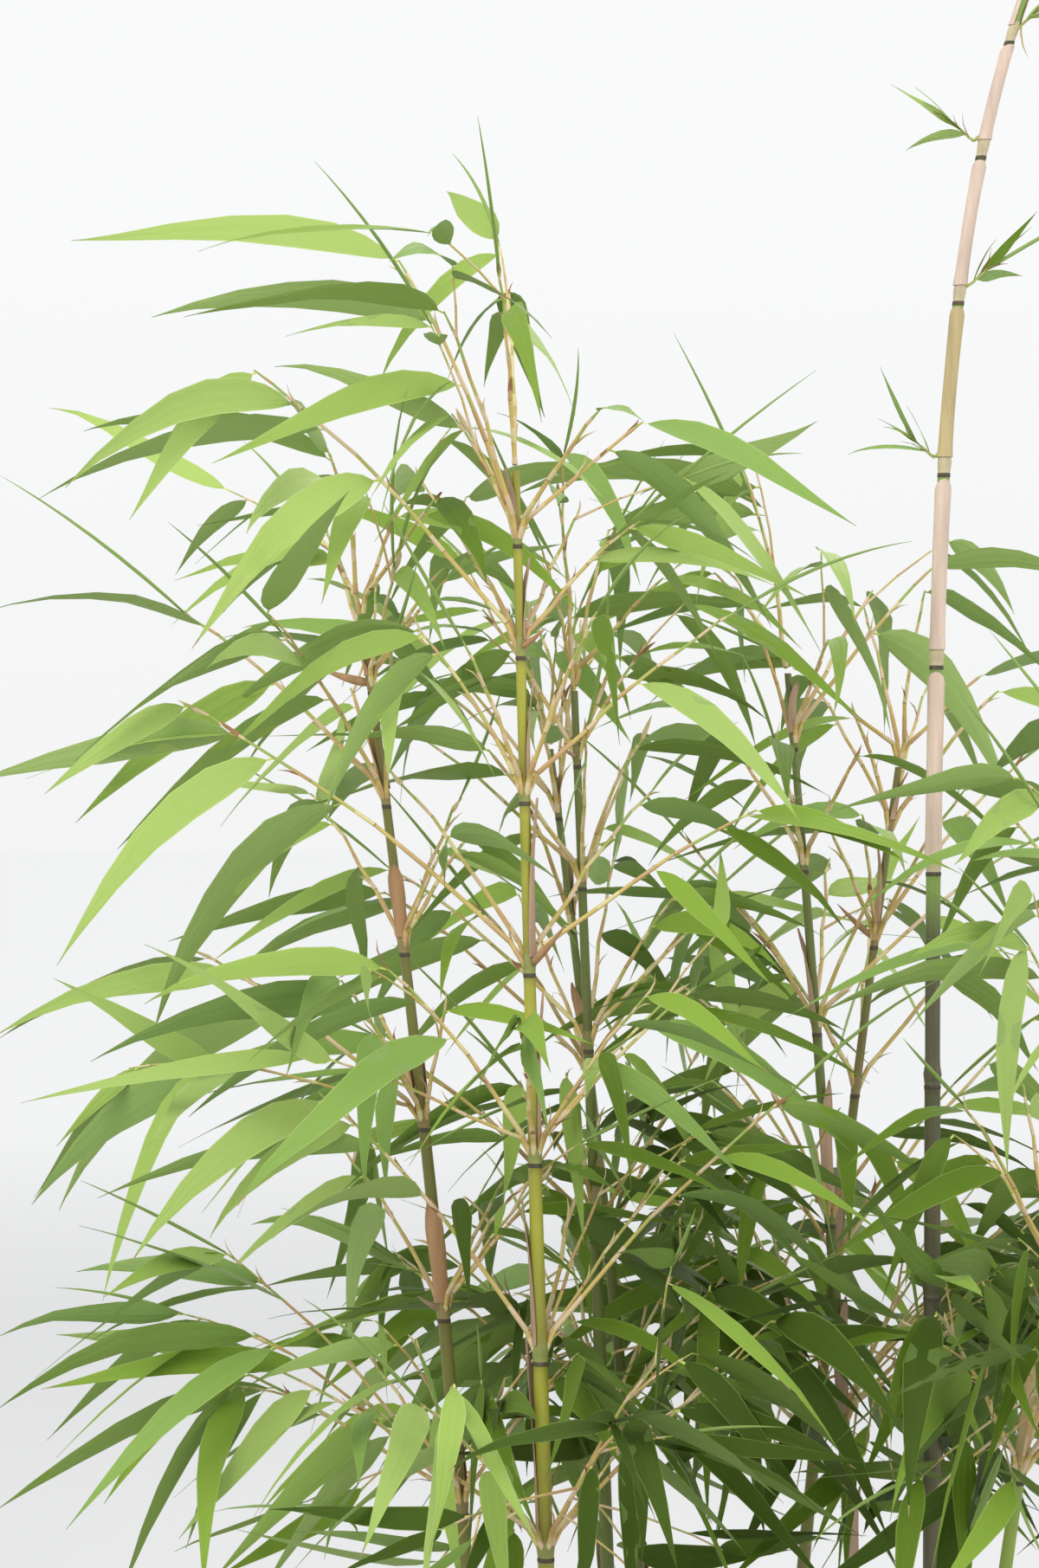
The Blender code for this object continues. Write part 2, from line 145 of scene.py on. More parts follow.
# %% [markdown]
# A pale world gives soft light from all sides, as in a white studio. It is a little darker
# towards the horizon, where it has the floor's own tone, so that no line shows behind the plant.

# %% World
WORLD_ABOVE = (0.95, 0.955, 0.96, 1)
WORLD_LEVEL = (0.905, 0.908, 0.912, 1)
FADE_FROM, FADE_TO = -0.01, 0.14

world = bpy.data.worlds.new("pale_studio")
scene.world = world
world.use_nodes = True
sky = world.node_tree
way = add_node(sky, "TexCoord")
split = add_node(sky, "SeparateXYZ")
shade = fade(sky, split, "Z", FADE_FROM, FADE_TO, (WORLD_LEVEL, WORLD_ABOVE))
wire(sky, (way, "Generated", split, 0), (shade, MIX_OUT, sky.nodes["Background"], "Color"))
print("world:", len(sky.nodes), "nodes")

# %% [markdown]
# ## Materials
# Skin, bark, plastic and soil are never one flat colour. Two small node groups do the work for
# most of the finishes here: `blotches` mixes two colours by noise that may be stretched along
# the height, as the streaks on a cane are, and `grain` gives a fine height for the bump and a
# value for the roughness. Both read Object coordinates, which are metres on the plant itself.
# The leaves and twigs are different: there are over a thousand of them, joined into a few
# meshes, and each spray simply gets one of several plain greens, with a paler green for the
# margins of its leaves.


# %% Helpers for colours and node groups
FLOAT, COLOUR = "NodeSocketFloat", "NodeSocketColor"


def srgb(red, green, blue):
    """A colour as it is seen on screen, from 0 to 255, as the linear colour that a shader takes."""
    def linear(value):
        c = value / 255
        return c / 12.92 if c <= 0.04045 else ((c + 0.055) / 1.055) ** 2.4
    return (linear(red), linear(green), linear(blue), 1.0)


def new_group(name, inputs, outputs):
    """A node group, with the nodes that stand for its inputs and its outputs."""
    group = bpy.data.node_groups.new(name, "ShaderNodeTree")
    for label, value in inputs.items():
        kind = COLOUR if isinstance(value, tuple) else FLOAT
        socket = group.interface.new_socket(label, in_out="INPUT", socket_type=kind)
        socket.default_value = value
    for label, kind in outputs.items():
        group.interface.new_socket(label, in_out="OUTPUT", socket_type=kind)
    return group, group.nodes.new("NodeGroupInput"), group.nodes.new("NodeGroupOutput")


def stretched_noise(group, start, detail, roughness):
    """Noise on Object coordinates, whose scale and stretch along the height are the group's."""
    place = add_node(group, "TexCoord")
    upright = add_node(group, "CombineXYZ", {"X": 1.0, "Y": 1.0})
    stretched = add_node(group, "VectorMath", operation="MULTIPLY")
    cloud = add_node(group, "TexNoise", {"Detail": detail, "Roughness": roughness})
    wire(
        group,
        (start, "Stretch", upright, "Z"), (place, "Object", stretched, 0),
        (upright, 0, stretched, 1), (stretched, 0, cloud, "Vector"),
        (start, "Scale", cloud, "Scale"),
    )
    return cloud


# %% The group that mixes two colours in blotches or streaks
blotches, start, end = new_group(
    "blotches",
    {"Colour A": (1, 1, 1, 1), "Colour B": (0, 0, 0, 1), "Scale": 60.0, "Stretch": 1.0,
     "Share": 0.5, "Softness": 0.25},
    {"Color": COLOUR},
)
cloud = stretched_noise(blotches, start, 5.0, 0.6)
lowest = add_node(blotches, "Math", operation="SUBTRACT")
highest = add_node(blotches, "Math", operation="ADD")
mask = add_node(blotches, "MapRange")
tint = add_node(blotches, "Mix", data_type="RGBA")
wire(
    blotches,
    (start, "Share", lowest, 0), (start, "Softness", lowest, 1),
    (start, "Share", highest, 0), (start, "Softness", highest, 1),
    (cloud, "Fac", mask, "Value"),
    (lowest, 0, mask, "From Min"), (highest, 0, mask, "From Max"),
    (mask, "Result", tint, "Factor"),
    (start, "Colour A", tint, MIX_A), (start, "Colour B", tint, MIX_B),
    (tint, MIX_OUT, end, "Color"),
)

# %% The group that gives fine grain for bump and roughness
grain, start, end = new_group(
    "grain",
    {"Scale": 900.0, "Stretch": 1.0, "Low": 0.4, "High": 0.6},
    {"Height": FLOAT, "Roughness": FLOAT},
)
speckle = stretched_noise(grain, start, 3.0, 0.5)
rough = add_node(grain, "MapRange")
wire(
    grain,
    (speckle, "Fac", rough, "Value"),
    (start, "Low", rough, "To Min"), (start, "High", rough, "To Max"),
    (speckle, "Fac", end, "Height"), (rough, "Result", end, "Roughness"),
)
print("node groups:", [g.name for g in bpy.data.node_groups])

# %% Two kinds of material: one from the groups, one plain
BLOTCH_SOFTNESS = 0.2


def new_material(name):
    """A new material, with its graph and its surface node."""
    material = bpy.data.materials.new(name)
    material.use_nodes = True
    return material, material.node_tree, material.node_tree.nodes["Principled BSDF"]


def add_relief(tree, surface, texture, depth):
    """Gives a surface the roughness and, as bump, the height of a group."""
    bump = add_node(tree, "Bump", {"Distance": depth})
    wire(
        tree,
        (texture, "Roughness", surface, "Roughness"),
        (texture, "Height", bump, "Height"), (bump, "Normal", surface, "Normal"),
    )


def made_material(name, colours, scale, stretch, share, roughness, depth, fineness):
    """A finish whose colour, roughness and relief come from the two node groups."""
    material, tree, surface = new_material(name)
    blotch = add_node(tree, "Group", node_tree=blotches, values={
        "Colour A": srgb(*colours[0]), "Colour B": srgb(*colours[1]), "Scale": scale,
        "Stretch": stretch, "Share": share, "Softness": BLOTCH_SOFTNESS,
    })
    fine = add_node(tree, "Group", node_tree=grain, values={
        "Scale": fineness, "Stretch": stretch, "Low": roughness[0], "High": roughness[1],
    })
    wire(tree, (blotch, "Color", surface, "Base Color"))
    add_relief(tree, surface, fine, depth)
    return material


def plain_material(name, colour, roughness):
    """One plain colour, for the strips that leaves and twigs are made of."""
    material, tree, surface = new_material(name)
    surface.inputs["Base Color"].default_value = srgb(*colour)
    surface.inputs["Roughness"].default_value = roughness
    return material


# %% [markdown]
# ## A helper that works as the hand does
# Pot, soil and canes are all grown in the same way: a circle is added, and its face is extruded
# again and again, each time moved on and made wider or narrower. `grow_rings` does that with
# Blender's own edit-mode operators. Nothing else may be selected when they run, so everything
# is deselected first.


# %% Extruding a circle ring by ring
def deselect_all():
    if bpy.context.mode != "OBJECT":
        bpy.ops.object.mode_set(mode="OBJECT")
    bpy.ops.object.select_all(action="DESELECT")


def grow_rings(name, rings, sides):
    """A closed solid through rings, each a (centre, radius), from the first to the last."""
    deselect_all()
    centre, radius = rings[0]
    bpy.ops.mesh.primitive_circle_add(
        vertices=sides, radius=radius, fill_type="NGON", location=centre
    )
    piece = bpy.context.active_object
    piece.name = piece.data.name = name
    bpy.ops.object.mode_set(mode="EDIT")
    bpy.ops.mesh.select_all(action="SELECT")
    for next_centre, next_radius in rings[1:]:
        bpy.ops.mesh.extrude_region_move(
            TRANSFORM_OT_translate={"value": Vector(next_centre) - Vector(centre)}
        )
        k = next_radius / radius
        bpy.ops.transform.resize(value=(k, k, 1), center_override=Vector(next_centre))
        centre, radius = next_centre, next_radius
    bpy.ops.mesh.select_all(action="SELECT")
    bpy.ops.mesh.normals_make_consistent(inside=False)
    bpy.ops.object.mode_set(mode="OBJECT")
    bpy.ops.object.transform_apply(location=True, rotation=True, scale=True)
    return piece


def smooth_by_angle(piece, degrees):
    deselect_all()
    piece.select_set(True)
    bpy.context.view_layer.objects.active = piece
    bpy.ops.object.shade_smooth_by_angle(angle=math.radians(degrees))


def finish_piece(piece, slot_name, *nodes):
    """A piece rides on the plant's one body and hides the nodes of the frame that it stands for.
    slot_name is not used.
    """
    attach(piece, "root")
    if nodes:
        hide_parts(*nodes)
    return piece


# %% [markdown]
# ## The pot
# The pot is a plain moulded one of charcoal plastic: a tapered wall, a rim band that stands out
# from it, a rounded lip, and a shallow foot. Its profile is read from the solid pot's own box,
# so that it keeps the pot's size. The rings run up the outside, over the lip and down inside
# to just under the soil.

# %% Sizes of the pot, from the frame and given
pot_high, soil_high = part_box("pot")[1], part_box("soil")[1]
POT_HEIGHT, POT_OUTER = pot_high.z, pot_high.x
SOIL_LEVEL, SOIL_RADIUS = soil_high.z, soil_high.x
POT_FOOT = 0.128
RIM_OUT, RIM_DEPTH = 0.007, 0.032
RIM_ROUND, RIM_CREASE, RIM_TAPER = 0.001, 0.0015, 0.0008
RECESS = [(0.020, 0.0035), (0.085, 0.0035), (0.092, 0.0)]
CORNER, CORNER_STEPS = 0.006, 5
LIP, LIP_STEPS, LIP_DEPTH = 0.0055, 8, 0.006
INNER_LIP, INNER_END = (0.0015, 0.02), (0.001, 0.03)
WALL_RINGS, WALL_LOW, WALL_HIGH = 12, 0.02, 0.022
GROOVE = ((-0.020, 0.0), (-0.019, 0.0012), (-0.016, 0.0012), (-0.015, 0.0), (-0.005, 0.0))
POT_SIDES, POT_SHARP = 128, 35

pot_slope = (POT_OUTER - RIM_OUT - POT_FOOT) / POT_HEIGHT
rim_bottom = POT_HEIGHT - RIM_DEPTH
print("pot:", round(POT_HEIGHT, 3), "high and", round(2 * POT_OUTER, 3), "across")


def pot_wall(z):
    return POT_FOOT + pot_slope * z


# %% Outside, lip and inside of the pot
profile = RECESS + [(POT_FOOT - CORNER, 0.0)]
for i in range(1, CORNER_STEPS + 1):
    turn = math.pi / 2 * i / CORNER_STEPS
    profile.append((POT_FOOT - CORNER + CORNER * math.sin(turn), CORNER - CORNER * math.cos(turn)))
profile += [(pot_wall(z), z) for z in np.linspace(WALL_LOW, rim_bottom - WALL_HIGH, WALL_RINGS)]
profile += [(pot_wall(rim_bottom + z) - dip, rim_bottom + z) for z, dip in GROOVE]
profile += [
    (pot_wall(rim_bottom) + RIM_CREASE, rim_bottom - 2 * RIM_ROUND),
    (pot_wall(rim_bottom) + RIM_OUT - RIM_ROUND, rim_bottom),
    (pot_wall(rim_bottom) + RIM_OUT, rim_bottom + RIM_ROUND),
    (POT_OUTER - RIM_TAPER, POT_HEIGHT - LIP_DEPTH),
]
for i in range(1, LIP_STEPS + 1):
    turn = math.pi * i / LIP_STEPS
    profile.append((POT_OUTER - LIP + LIP * math.cos(turn), POT_HEIGHT - LIP + LIP * math.sin(turn)))
inside = POT_OUTER - 2 * LIP
profile.append((inside - INNER_LIP[0], POT_HEIGHT - INNER_LIP[1]))
profile.append((SOIL_RADIUS - INNER_END[0], SOIL_LEVEL - INNER_END[1]))

pot = grow_rings("planter", [((0, 0, z), r) for r, z in profile], POT_SIDES)
smooth_by_angle(pot, POT_SHARP)
pot.data.materials.append(made_material(
    "charcoal_plastic", ((58, 60, 63), (72, 73, 74)), scale=7, stretch=0.35, share=0.52,
    roughness=(0.42, 0.62), depth=0.00025, fineness=1500,
))
finish_piece(pot, "pot_plastic", "pot")
print("pot:", len(pot.data.polygons), "faces")

# %% [markdown]
# ## The soil
# Potting mix is crumbly: its surface heaves by a few millimetres and is littered with bits of
# bark. The surface is a fan of rings drawn in from the pot's wall, whose points are then lifted
# by noise. One bark chip is modelled by hand from a cube, and over a thousand copies of its few
# faces are strewn over the surface by a seeded rule, all joined in one mesh.

# %% Soil surface
SOIL_RINGS, SOIL_SIDES, SOIL_SHARP = 46, 144, 60
SOIL_EDGE, SOIL_SETTLED = 0.012, 0.001
WALL_GAP, TOP_WALL_GAP = 0.0006, 0.0005
CRUMBS = ((22, 0.3, 0.0016), (130, 1.7, 0.0011))

rings = [((0, 0, SOIL_LEVEL - SOIL_EDGE), SOIL_RADIUS - WALL_GAP)]
for i in range(SOIL_RINGS):
    share = 1 - i / SOIL_RINGS
    rings.append(((0, 0, SOIL_LEVEL - SOIL_SETTLED), (SOIL_RADIUS - TOP_WALL_GAP) * share))
soil = grow_rings("potting_mix", rings, SOIL_SIDES)


def soil_lift(x, y):
    """How far the soil's surface stands off level at a place, in metres."""
    return sum(height * noise.noise(Vector((x * k, y * k, seed))) for k, seed, height in CRUMBS)


for vert in soil.data.vertices:
    if vert.co.z > SOIL_LEVEL - SOIL_EDGE / 2:
        vert.co.z += soil_lift(vert.co.x, vert.co.y)
smooth_by_angle(soil, SOIL_SHARP)
soil.data.materials.append(made_material(
    "potting_soil", ((62, 46, 34), (104, 80, 60)), scale=160, stretch=1.0, share=0.55,
    roughness=(0.85, 1.0), depth=0.0012, fineness=700,
))
finish_piece(soil, "potting_soil", "soil")
print("soil:", len(soil.data.polygons), "faces")

# %% One bark chip by hand
deselect_all()
bpy.ops.mesh.primitive_cube_add(size=1.0)
chip = bpy.context.active_object
bpy.ops.object.mode_set(mode="EDIT")
bpy.ops.mesh.select_all(action="SELECT")
bpy.ops.mesh.subdivide(number_cuts=1)
bpy.ops.transform.tosphere(value=0.55)
bpy.ops.transform.vertex_random(offset=0.16, seed=4)
bpy.ops.object.mode_set(mode="OBJECT")
chip_points = np.array([v.co[:] for v in chip.data.vertices])
chip_quads = np.array([tuple(p.vertices) for p in chip.data.polygons])
bpy.data.objects.remove(chip)
print("one chip:", len(chip_quads), "faces")


# %% [markdown]
# Chips, leaves and twigs are too many for objects of their own. Each is worked out as an array
# of points with its quads, and one mesh then holds them all. Leaves and twigs are rings of six
# points joined all round.


# %% Joining many copies of small meshes into one
RING_SIDES = 6


def ring_quads(rings):
    """Quads between rings of points, joined all round."""
    quads = []
    for first in range(0, (rings - 1) * RING_SIDES, RING_SIDES):
        for k in range(RING_SIDES):
            a, b = first + k, first + (k + 1) % RING_SIDES
            quads.append((a, b, b + RING_SIDES, a + RING_SIDES))
    return quads


def joined_mesh(name, parts, materials, sharp=None, uvs=None):
    """One object from many small meshes of quads, each (points, quads, materials by number).

    Edges that bend by more than `sharp` degrees are sharp, and 0 makes every face flat.
    """
    points, quads, kinds = zip(*parts)
    starts = np.cumsum([0] + [len(block) for block in points[:-1]])
    kinds = np.concatenate([np.broadcast_to(kind, len(block)) for kind, block in zip(kinds, quads)])
    points = np.concatenate(points)
    quads = np.concatenate([block + first for block, first in zip(quads, starts)])
    mesh = bpy.data.meshes.new(name)
    mesh.vertices.add(len(points))
    mesh.vertices.foreach_set("co", points.astype(np.float32).ravel())
    mesh.loops.add(quads.size)
    mesh.loops.foreach_set("vertex_index", quads.astype(np.int32).ravel())
    mesh.polygons.add(len(quads))
    mesh.polygons.foreach_set("loop_start", np.arange(0, quads.size, 4, dtype=np.int32))
    mesh.polygons.foreach_set("material_index", kinds.astype(np.int32))
    mesh.polygons.foreach_set("use_smooth", np.full(len(quads), sharp != 0))
    for material in materials:
        mesh.materials.append(material)
    mesh.update(calc_edges=True)
    if uvs:
        layer = mesh.uv_layers.new(name="veins")
        layer.uv.foreach_set("vector", np.concatenate(uvs).astype(np.float32).ravel())
    if sharp:
        mesh.set_sharp_from_angle(angle=math.radians(sharp))
    piece = bpy.data.objects.new(name, mesh)
    scene.collection.objects.link(piece)
    print(name, "of", len(parts), "parts,", 2 * len(quads), "triangles")
    return piece


# %% Bark chips strewn over the soil
CHIPS = 1500
CHIP_SIZES = ((0.003, 0.009), (0.002, 0.005), (0.001, 0.0025))
CHIP_TILT = (-0.5, 0.5)
CHIP_MARGIN, CHIP_SUNK, CHIP_RISE = 0.008, 0.0008, 0.3
BARKS = {"dark": (58, 42, 31), "brown": (98, 70, 48), "pale": (150, 122, 92)}
BARK_WEIGHTS = (5, 3, 1)


def turned(points, angle, a, b):
    """Points turned by an angle in the plane of their axes a and b."""
    result = points.copy()
    result[:, a] = points[:, a] * math.cos(angle) - points[:, b] * math.sin(angle)
    result[:, b] = points[:, a] * math.sin(angle) + points[:, b] * math.cos(angle)
    return result


rng = random.Random("bark chips")
parts = []
for i in range(CHIPS):
    reach = (SOIL_RADIUS - CHIP_MARGIN) * math.sqrt(rng.random())
    turn = rng.uniform(0, math.tau)
    x, y = reach * math.cos(turn), reach * math.sin(turn)
    size = np.array([rng.uniform(*span) for span in CHIP_SIZES])
    spin, tilt = rng.uniform(0, math.tau), rng.uniform(*CHIP_TILT)
    points = turned(turned(chip_points * size, tilt, 0, 2), spin, 0, 1)
    z = SOIL_LEVEL - CHIP_SUNK + soil_lift(x, y) + size[2] * CHIP_RISE
    parts.append((points + (x, y, z), chip_quads, rng.choices(range(len(BARKS)), BARK_WEIGHTS)[0]))
bark = [plain_material(f"bark_{label}", colour, 0.9) for label, colour in BARKS.items()]
chips = joined_mesh("bark_chips", parts, bark, sharp=0)
finish_piece(chips, "potting_soil")

# %% [markdown]
# ## How the plant grows
# The solid model's canes and masses grow by a seeded rule, and the same rule is written here
# again: the same names seed the same draws, so the sprays below start and end where the solid
# ones do. Eight canes stand in the pot. Every leafy joint carries a fan of branches on the
# bud's side, the next joint on the other side.

# %% The canes and their joints
NODE_SWELL = 1.22
CULM_SIDES = 5
CULM_TIP_SHARE = 0.42
FLARE = 1.35
GAP = 0.0003
JOINT_ARC = (0.18, 0.68)
JOINT_POWER = 1.15

Culm = namedtuple("Culm", "name foot head top radius joints bare bow bud reach")
CULMS = (
    Culm("culm_front", (-0.078, -0.055), (-0.101, -0.050), 1.096, 0.0050, 11, 3, 1.0, -84, 1.00),
    Culm("culm_left", (-0.112, 0.008), (-0.180, 0.026), 1.025, 0.0047, 10, 3, 1.5, -150, 0.80),
    Culm("culm_centre", (-0.046, 0.046), (-0.070, 0.085), 0.990, 0.0046, 9, 3, 1.2, 60, 0.88),
    Culm("culm_back", (0.084, 0.066), (0.045, 0.112), 1.000, 0.0044, 9, 3, 1.5, 40, 0.95),
    Culm("culm_back_right", (0.036, 0.106), (0.110, 0.172), 0.950, 0.0044, 9, 3, 1.4, 110, 1.0),
    Culm("culm_right", (0.118, -0.036), (0.200, -0.060), 0.885, 0.0046, 8, 3, 1.5, -40, 1.02),
    Culm("culm_back_left", (-0.020, 0.098), (-0.082, 0.180), 0.960, 0.0043, 9, 3, 1.4, 150, 1.0),
)
SHOOT = Culm("culm_shoot", (0.112, 0.010), (0.165, 0.004), 1.360, 0.0056, 13, 8, 8.0, 170, 1.0)
UP = Vector((0, 0, 1))
print("canes:", [culm.name for culm in CULMS + (SHOOT,)])


# %% Joints up a cane, and where it runs
def heading(azimuth, rise):
    """The unit vector of a compass angle from +X and a rise above level, both in degrees."""
    a, r = math.radians(azimuth), math.radians(rise)
    return Vector((math.cos(a) * math.cos(r), math.sin(a) * math.cos(r), math.sin(r)))


def joint_heights(culm):
    first, span = JOINT_ARC
    steps = [first + span * i / (culm.joints - 1) for i in range(culm.joints)]
    shares = [math.sin(math.pi * step) ** JOINT_POWER for step in steps]
    scale = (culm.top - SOIL_LEVEL) / sum(shares)
    heights, z = [], SOIL_LEVEL
    for share in shares:
        z += share * scale
        heights.append(z)
    return heights


def leafy_joints(culm):
    """The joints that bear leaves, as (name of the mass, order from the lowest up, height)."""
    kind = "tuft" if culm is SHOOT else culm.name.replace("culm", "foliage")
    heights = joint_heights(culm)[culm.bare:]
    return [(f"{kind}_{order + 1}", order, z) for order, z in enumerate(heights)]


def culm_axis(culm, z):
    s = max(0.0, (z - SOIL_LEVEL) / (culm.top - SOIL_LEVEL))
    foot, head = Vector(culm.foot), Vector(culm.head)
    x, y = foot + (head - foot) * s**culm.bow
    return Vector((x, y, z))


def culm_radius(culm, z):
    s = (z - SOIL_LEVEL) / (culm.top - SOIL_LEVEL)
    return culm.radius * (1 - (1 - CULM_TIP_SHARE) * s)


def culm_edge(culm, z, azimuth, room):
    between_corners = 360 / CULM_SIDES
    off = (azimuth + between_corners / 2) % between_corners - between_corners / 2
    reach = culm_radius(culm, z) * NODE_SWELL * math.cos(math.radians(off))
    level = heading(azimuth, 0)
    centre = culm_axis(culm, z + room)
    lean = abs((centre - culm_axis(culm, z)).dot(level))
    return centre + level * (reach + GAP + lean)


joints_of = {name: (c, order, z) for c in CULMS + (SHOOT,) for name, order, z in leafy_joints(c)}
print("leafy joints:", len(joints_of))
print("joints of the front cane:", [round(z, 3) for z in joint_heights(CULMS[0])])

# %% [markdown]
# A branch of the solid model is a straight line from the fan's root to its tip, and a leaf has
# a base, a waist where it is widest and bends, and a tip. These few points are all that the
# detailed twigs and leaves need. A leaf leaves its twig partly along the twig and partly on its
# own way outward, and is then turned about its own length.

# %% Branches and leaves as the solid model grows them
STEM_RADIUS, STEM_LENGTH, STEM_SUNK = 0.0022, 0.009, 0.001
BRANCH_RADIUS, BRANCH_TIP_RADIUS = 0.0015, 0.0011
LEAF_LENGTH = 0.150
LEAF_WIDTH_SHARE, LEAF_THICK_SHARE = 0.160, 0.0125
LEAF_WIDEST_AT = 0.26
LEAF_PLACES = ((0.95, 16), (0.76, 26), (0.57, 34))
LEAF_TRIES = 7
LEAF_TURN, LEAF_ROLL = (26, 52), (15, 68)
TURN_AT_CANE, TURN_LESS = 1.25, 0.75
LEAF_SPREAD, LEAF_BY_BRANCH = (0.86, 1.14), (0.8, 1.3)
TRY_BACK, TRY_SHORTER = 0.03, 0.06
LEAF_HANG_SPREAD, LEAF_BEND, LEAF_SUNK = 14, 0.08, 0.0006
ROOT_MIX = (0.42, 0.58)
SPEAR_LENGTH, SPEAR_WIDTH, SPEAR_SUNK = 0.105, 0.0034, 0.004
SPEAR_WAIST, SPEAR_SPREAD = 0.3, (0.8, 1.2)
SPEAR_RISE, SPEAR_OUTWARD = 10, 0.35
print("widest leaf:", round(1000 * LEAF_LENGTH * LEAF_WIDTH_SHARE), "mm across")

# %% One branch and one leaf of the solid model
Branch = namedtuple("Branch", "path radii heading length")
Leaf = namedtuple("Leaf", "base waist tip across width thick")


def grow_branch(start, azimuth, rise, length):
    tip = start + heading(azimuth, rise) * length
    return Branch((start, tip), (BRANCH_RADIUS, BRANCH_TIP_RADIUS), azimuth, length)


def along(branch, share):
    start, tip = branch.path
    return start.lerp(tip, share), (tip - start).normalized()


def root_way(twig, outer):
    return (twig * ROOT_MIX[0] + outer * ROOT_MIX[1]).normalized()


def leaf_spine(base, root, outer, length):
    """The waist and the tip of a leaf that leaves its base one way and then bends outward."""
    waist = base + root * length * LEAF_WIDEST_AT
    return waist, waist + outer * length * (1 - LEAF_WIDEST_AT)


def rolled(outer, degrees):
    """The way across a leaf, level and then turned about its length."""
    level, roll = outer.cross(UP).normalized(), math.radians(degrees)
    return level * math.cos(roll) + level.cross(outer) * math.sin(roll)


def grow_leaf(rng, branch, share, side, length, droop):
    point, twig = along(branch, share)
    spread = side * rng.uniform(*LEAF_TURN) * (TURN_AT_CANE - TURN_LESS * share)
    outer = heading(branch.heading + spread, -rng.gauss(droop, LEAF_HANG_SPREAD))
    root = root_way(twig, outer)
    outer = (outer - UP * LEAF_BEND).normalized()
    base = point - root * LEAF_SUNK
    waist, tip = leaf_spine(base, root, outer, length)
    across = rolled(outer, side * rng.uniform(*LEAF_ROLL))
    return Leaf(base, waist, tip, across, length * LEAF_WIDTH_SHARE, length * LEAF_THICK_SHARE)


def spear_leaf(point, way, outward, length, width, sunk=0.0):
    """A rolled young leaf that goes on from a twig's tip and turns a little outward."""
    ahead, base = (way + outward).normalized(), point - way * sunk
    across = ahead.cross(UP).normalized()
    return Leaf(base, base + way * length * SPEAR_WAIST, point + ahead * length, across, width, width)


def grow_spear(rng, branch):
    point, way = along(branch, 1.0)
    length = SPEAR_LENGTH * rng.uniform(*SPEAR_SPREAD)
    outward = heading(branch.heading, SPEAR_RISE) * SPEAR_OUTWARD
    return spear_leaf(point, way, outward, length, SPEAR_WIDTH, SPEAR_SUNK)


# %% The fan at one joint
FAN, FAN_SPREAD = 4, 98.0
BRANCH_LENGTH, BRANCH_RISE = 0.168, 46.0
LENGTH_SHARE, LENGTH_OUTWARD, LENGTH_UP = 0.84, 0.24, 0.35
RISE_OUTWARD, RISE_UP = 10, 16
RISE_SPREAD, LENGTH_SPREAD = (-7, 7), (0.85, 1.12)
LONG_BRANCH = 0.105
TOP_LENGTH, TOP_RISES = 0.085, (74, 40, 62, 36)
BUD_SPREAD, TURN_SPREAD = (-14, 14), (-8, 8)
TOP_TURN_SPREAD, TOP_LENGTH_SPREAD = (-15, 15), (0.9, 1.15)
FRONT_FANS = (
    (38, 0.165, 40, 0.150),
    (46, 0.168, 46, 0.172),
    (50, 0.120, 48, 0.112),
    (36, 0.200, 37, 0.140),
    (58, 0.095, 44, 0.138),
    (46, 0.178, 50, 0.085),
    (68, 0.155, 38, 0.112),
)
FRONT_SHARE, FRONT_SIDEWAYS = 0.80, 0.25
FRONT_RISE_SPREAD, FRONT_LENGTH_SPREAD = (-5, 5), (0.92, 1.06)


def fan_sizes(culm, order, count, azimuth, rng):
    """The rise and length of a branch, from a table on the front cane and by rule elsewhere."""
    up = order / (count - 1)
    if culm.name == "culm_front":
        left_rise, left_length, right_rise, right_length = FRONT_FANS[order]
        to_right = 0.5 + 0.5 * math.cos(math.radians(azimuth))
        rise = left_rise + (right_rise - left_rise) * to_right
        length = left_length + (right_length - left_length) * to_right
        across = abs(math.cos(math.radians(azimuth)))
        rise += rng.uniform(*FRONT_RISE_SPREAD)
        length *= FRONT_SHARE + FRONT_SIDEWAYS * across
        return rise, length * rng.uniform(*FRONT_LENGTH_SPREAD)
    outward = math.atan2(culm.head[1], culm.head[0])
    facing = math.cos(math.radians(azimuth) - outward)
    rise = BRANCH_RISE - RISE_OUTWARD * facing + RISE_UP * up * up + rng.uniform(*RISE_SPREAD)
    length = BRANCH_LENGTH * culm.reach * (LENGTH_SHARE + LENGTH_OUTWARD * facing)
    return rise, length * (1 - LENGTH_UP * up**2) * rng.uniform(*LENGTH_SPREAD)


# %% The plan of a fan and of its leaves
def plan_stem(start, out, bud, length):
    """The short stem of a fan, and the point just inside its end where branches start."""
    stem = Branch((start, start + out * length), (STEM_RADIUS,) * 2, bud, length)
    return stem, stem.path[1] - out * STEM_SUNK


def plan_fan(culm, order, z):
    count = culm.joints - culm.bare
    top = order == count - 1
    bud = culm.bud + 180 * (order % 2)
    bud += random.Random(f"{culm.name} {order}").uniform(*BUD_SPREAD)
    out = heading(0, 90) if top else heading(bud, 0)
    start = culm_axis(culm, z) + out * GAP if top else culm_edge(culm, z, bud, STEM_RADIUS)
    stem, fork = plan_stem(start, out, bud, STEM_LENGTH)
    branches = []
    for i in range(FAN):
        rng = random.Random(f"{culm.name} {order} {i}")
        if top:
            azimuth = bud + 360 * i / FAN + rng.uniform(*TOP_TURN_SPREAD)
            rise, length = TOP_RISES[i], TOP_LENGTH * rng.uniform(*TOP_LENGTH_SPREAD)
        else:
            azimuth = bud + FAN_SPREAD * (2 * i / (FAN - 1) - 1) + rng.uniform(*TURN_SPREAD)
            rise, length = fan_sizes(culm, order, count, azimuth, rng)
        branches.append(grow_branch(fork, azimuth, rise, length))
    return stem, branches


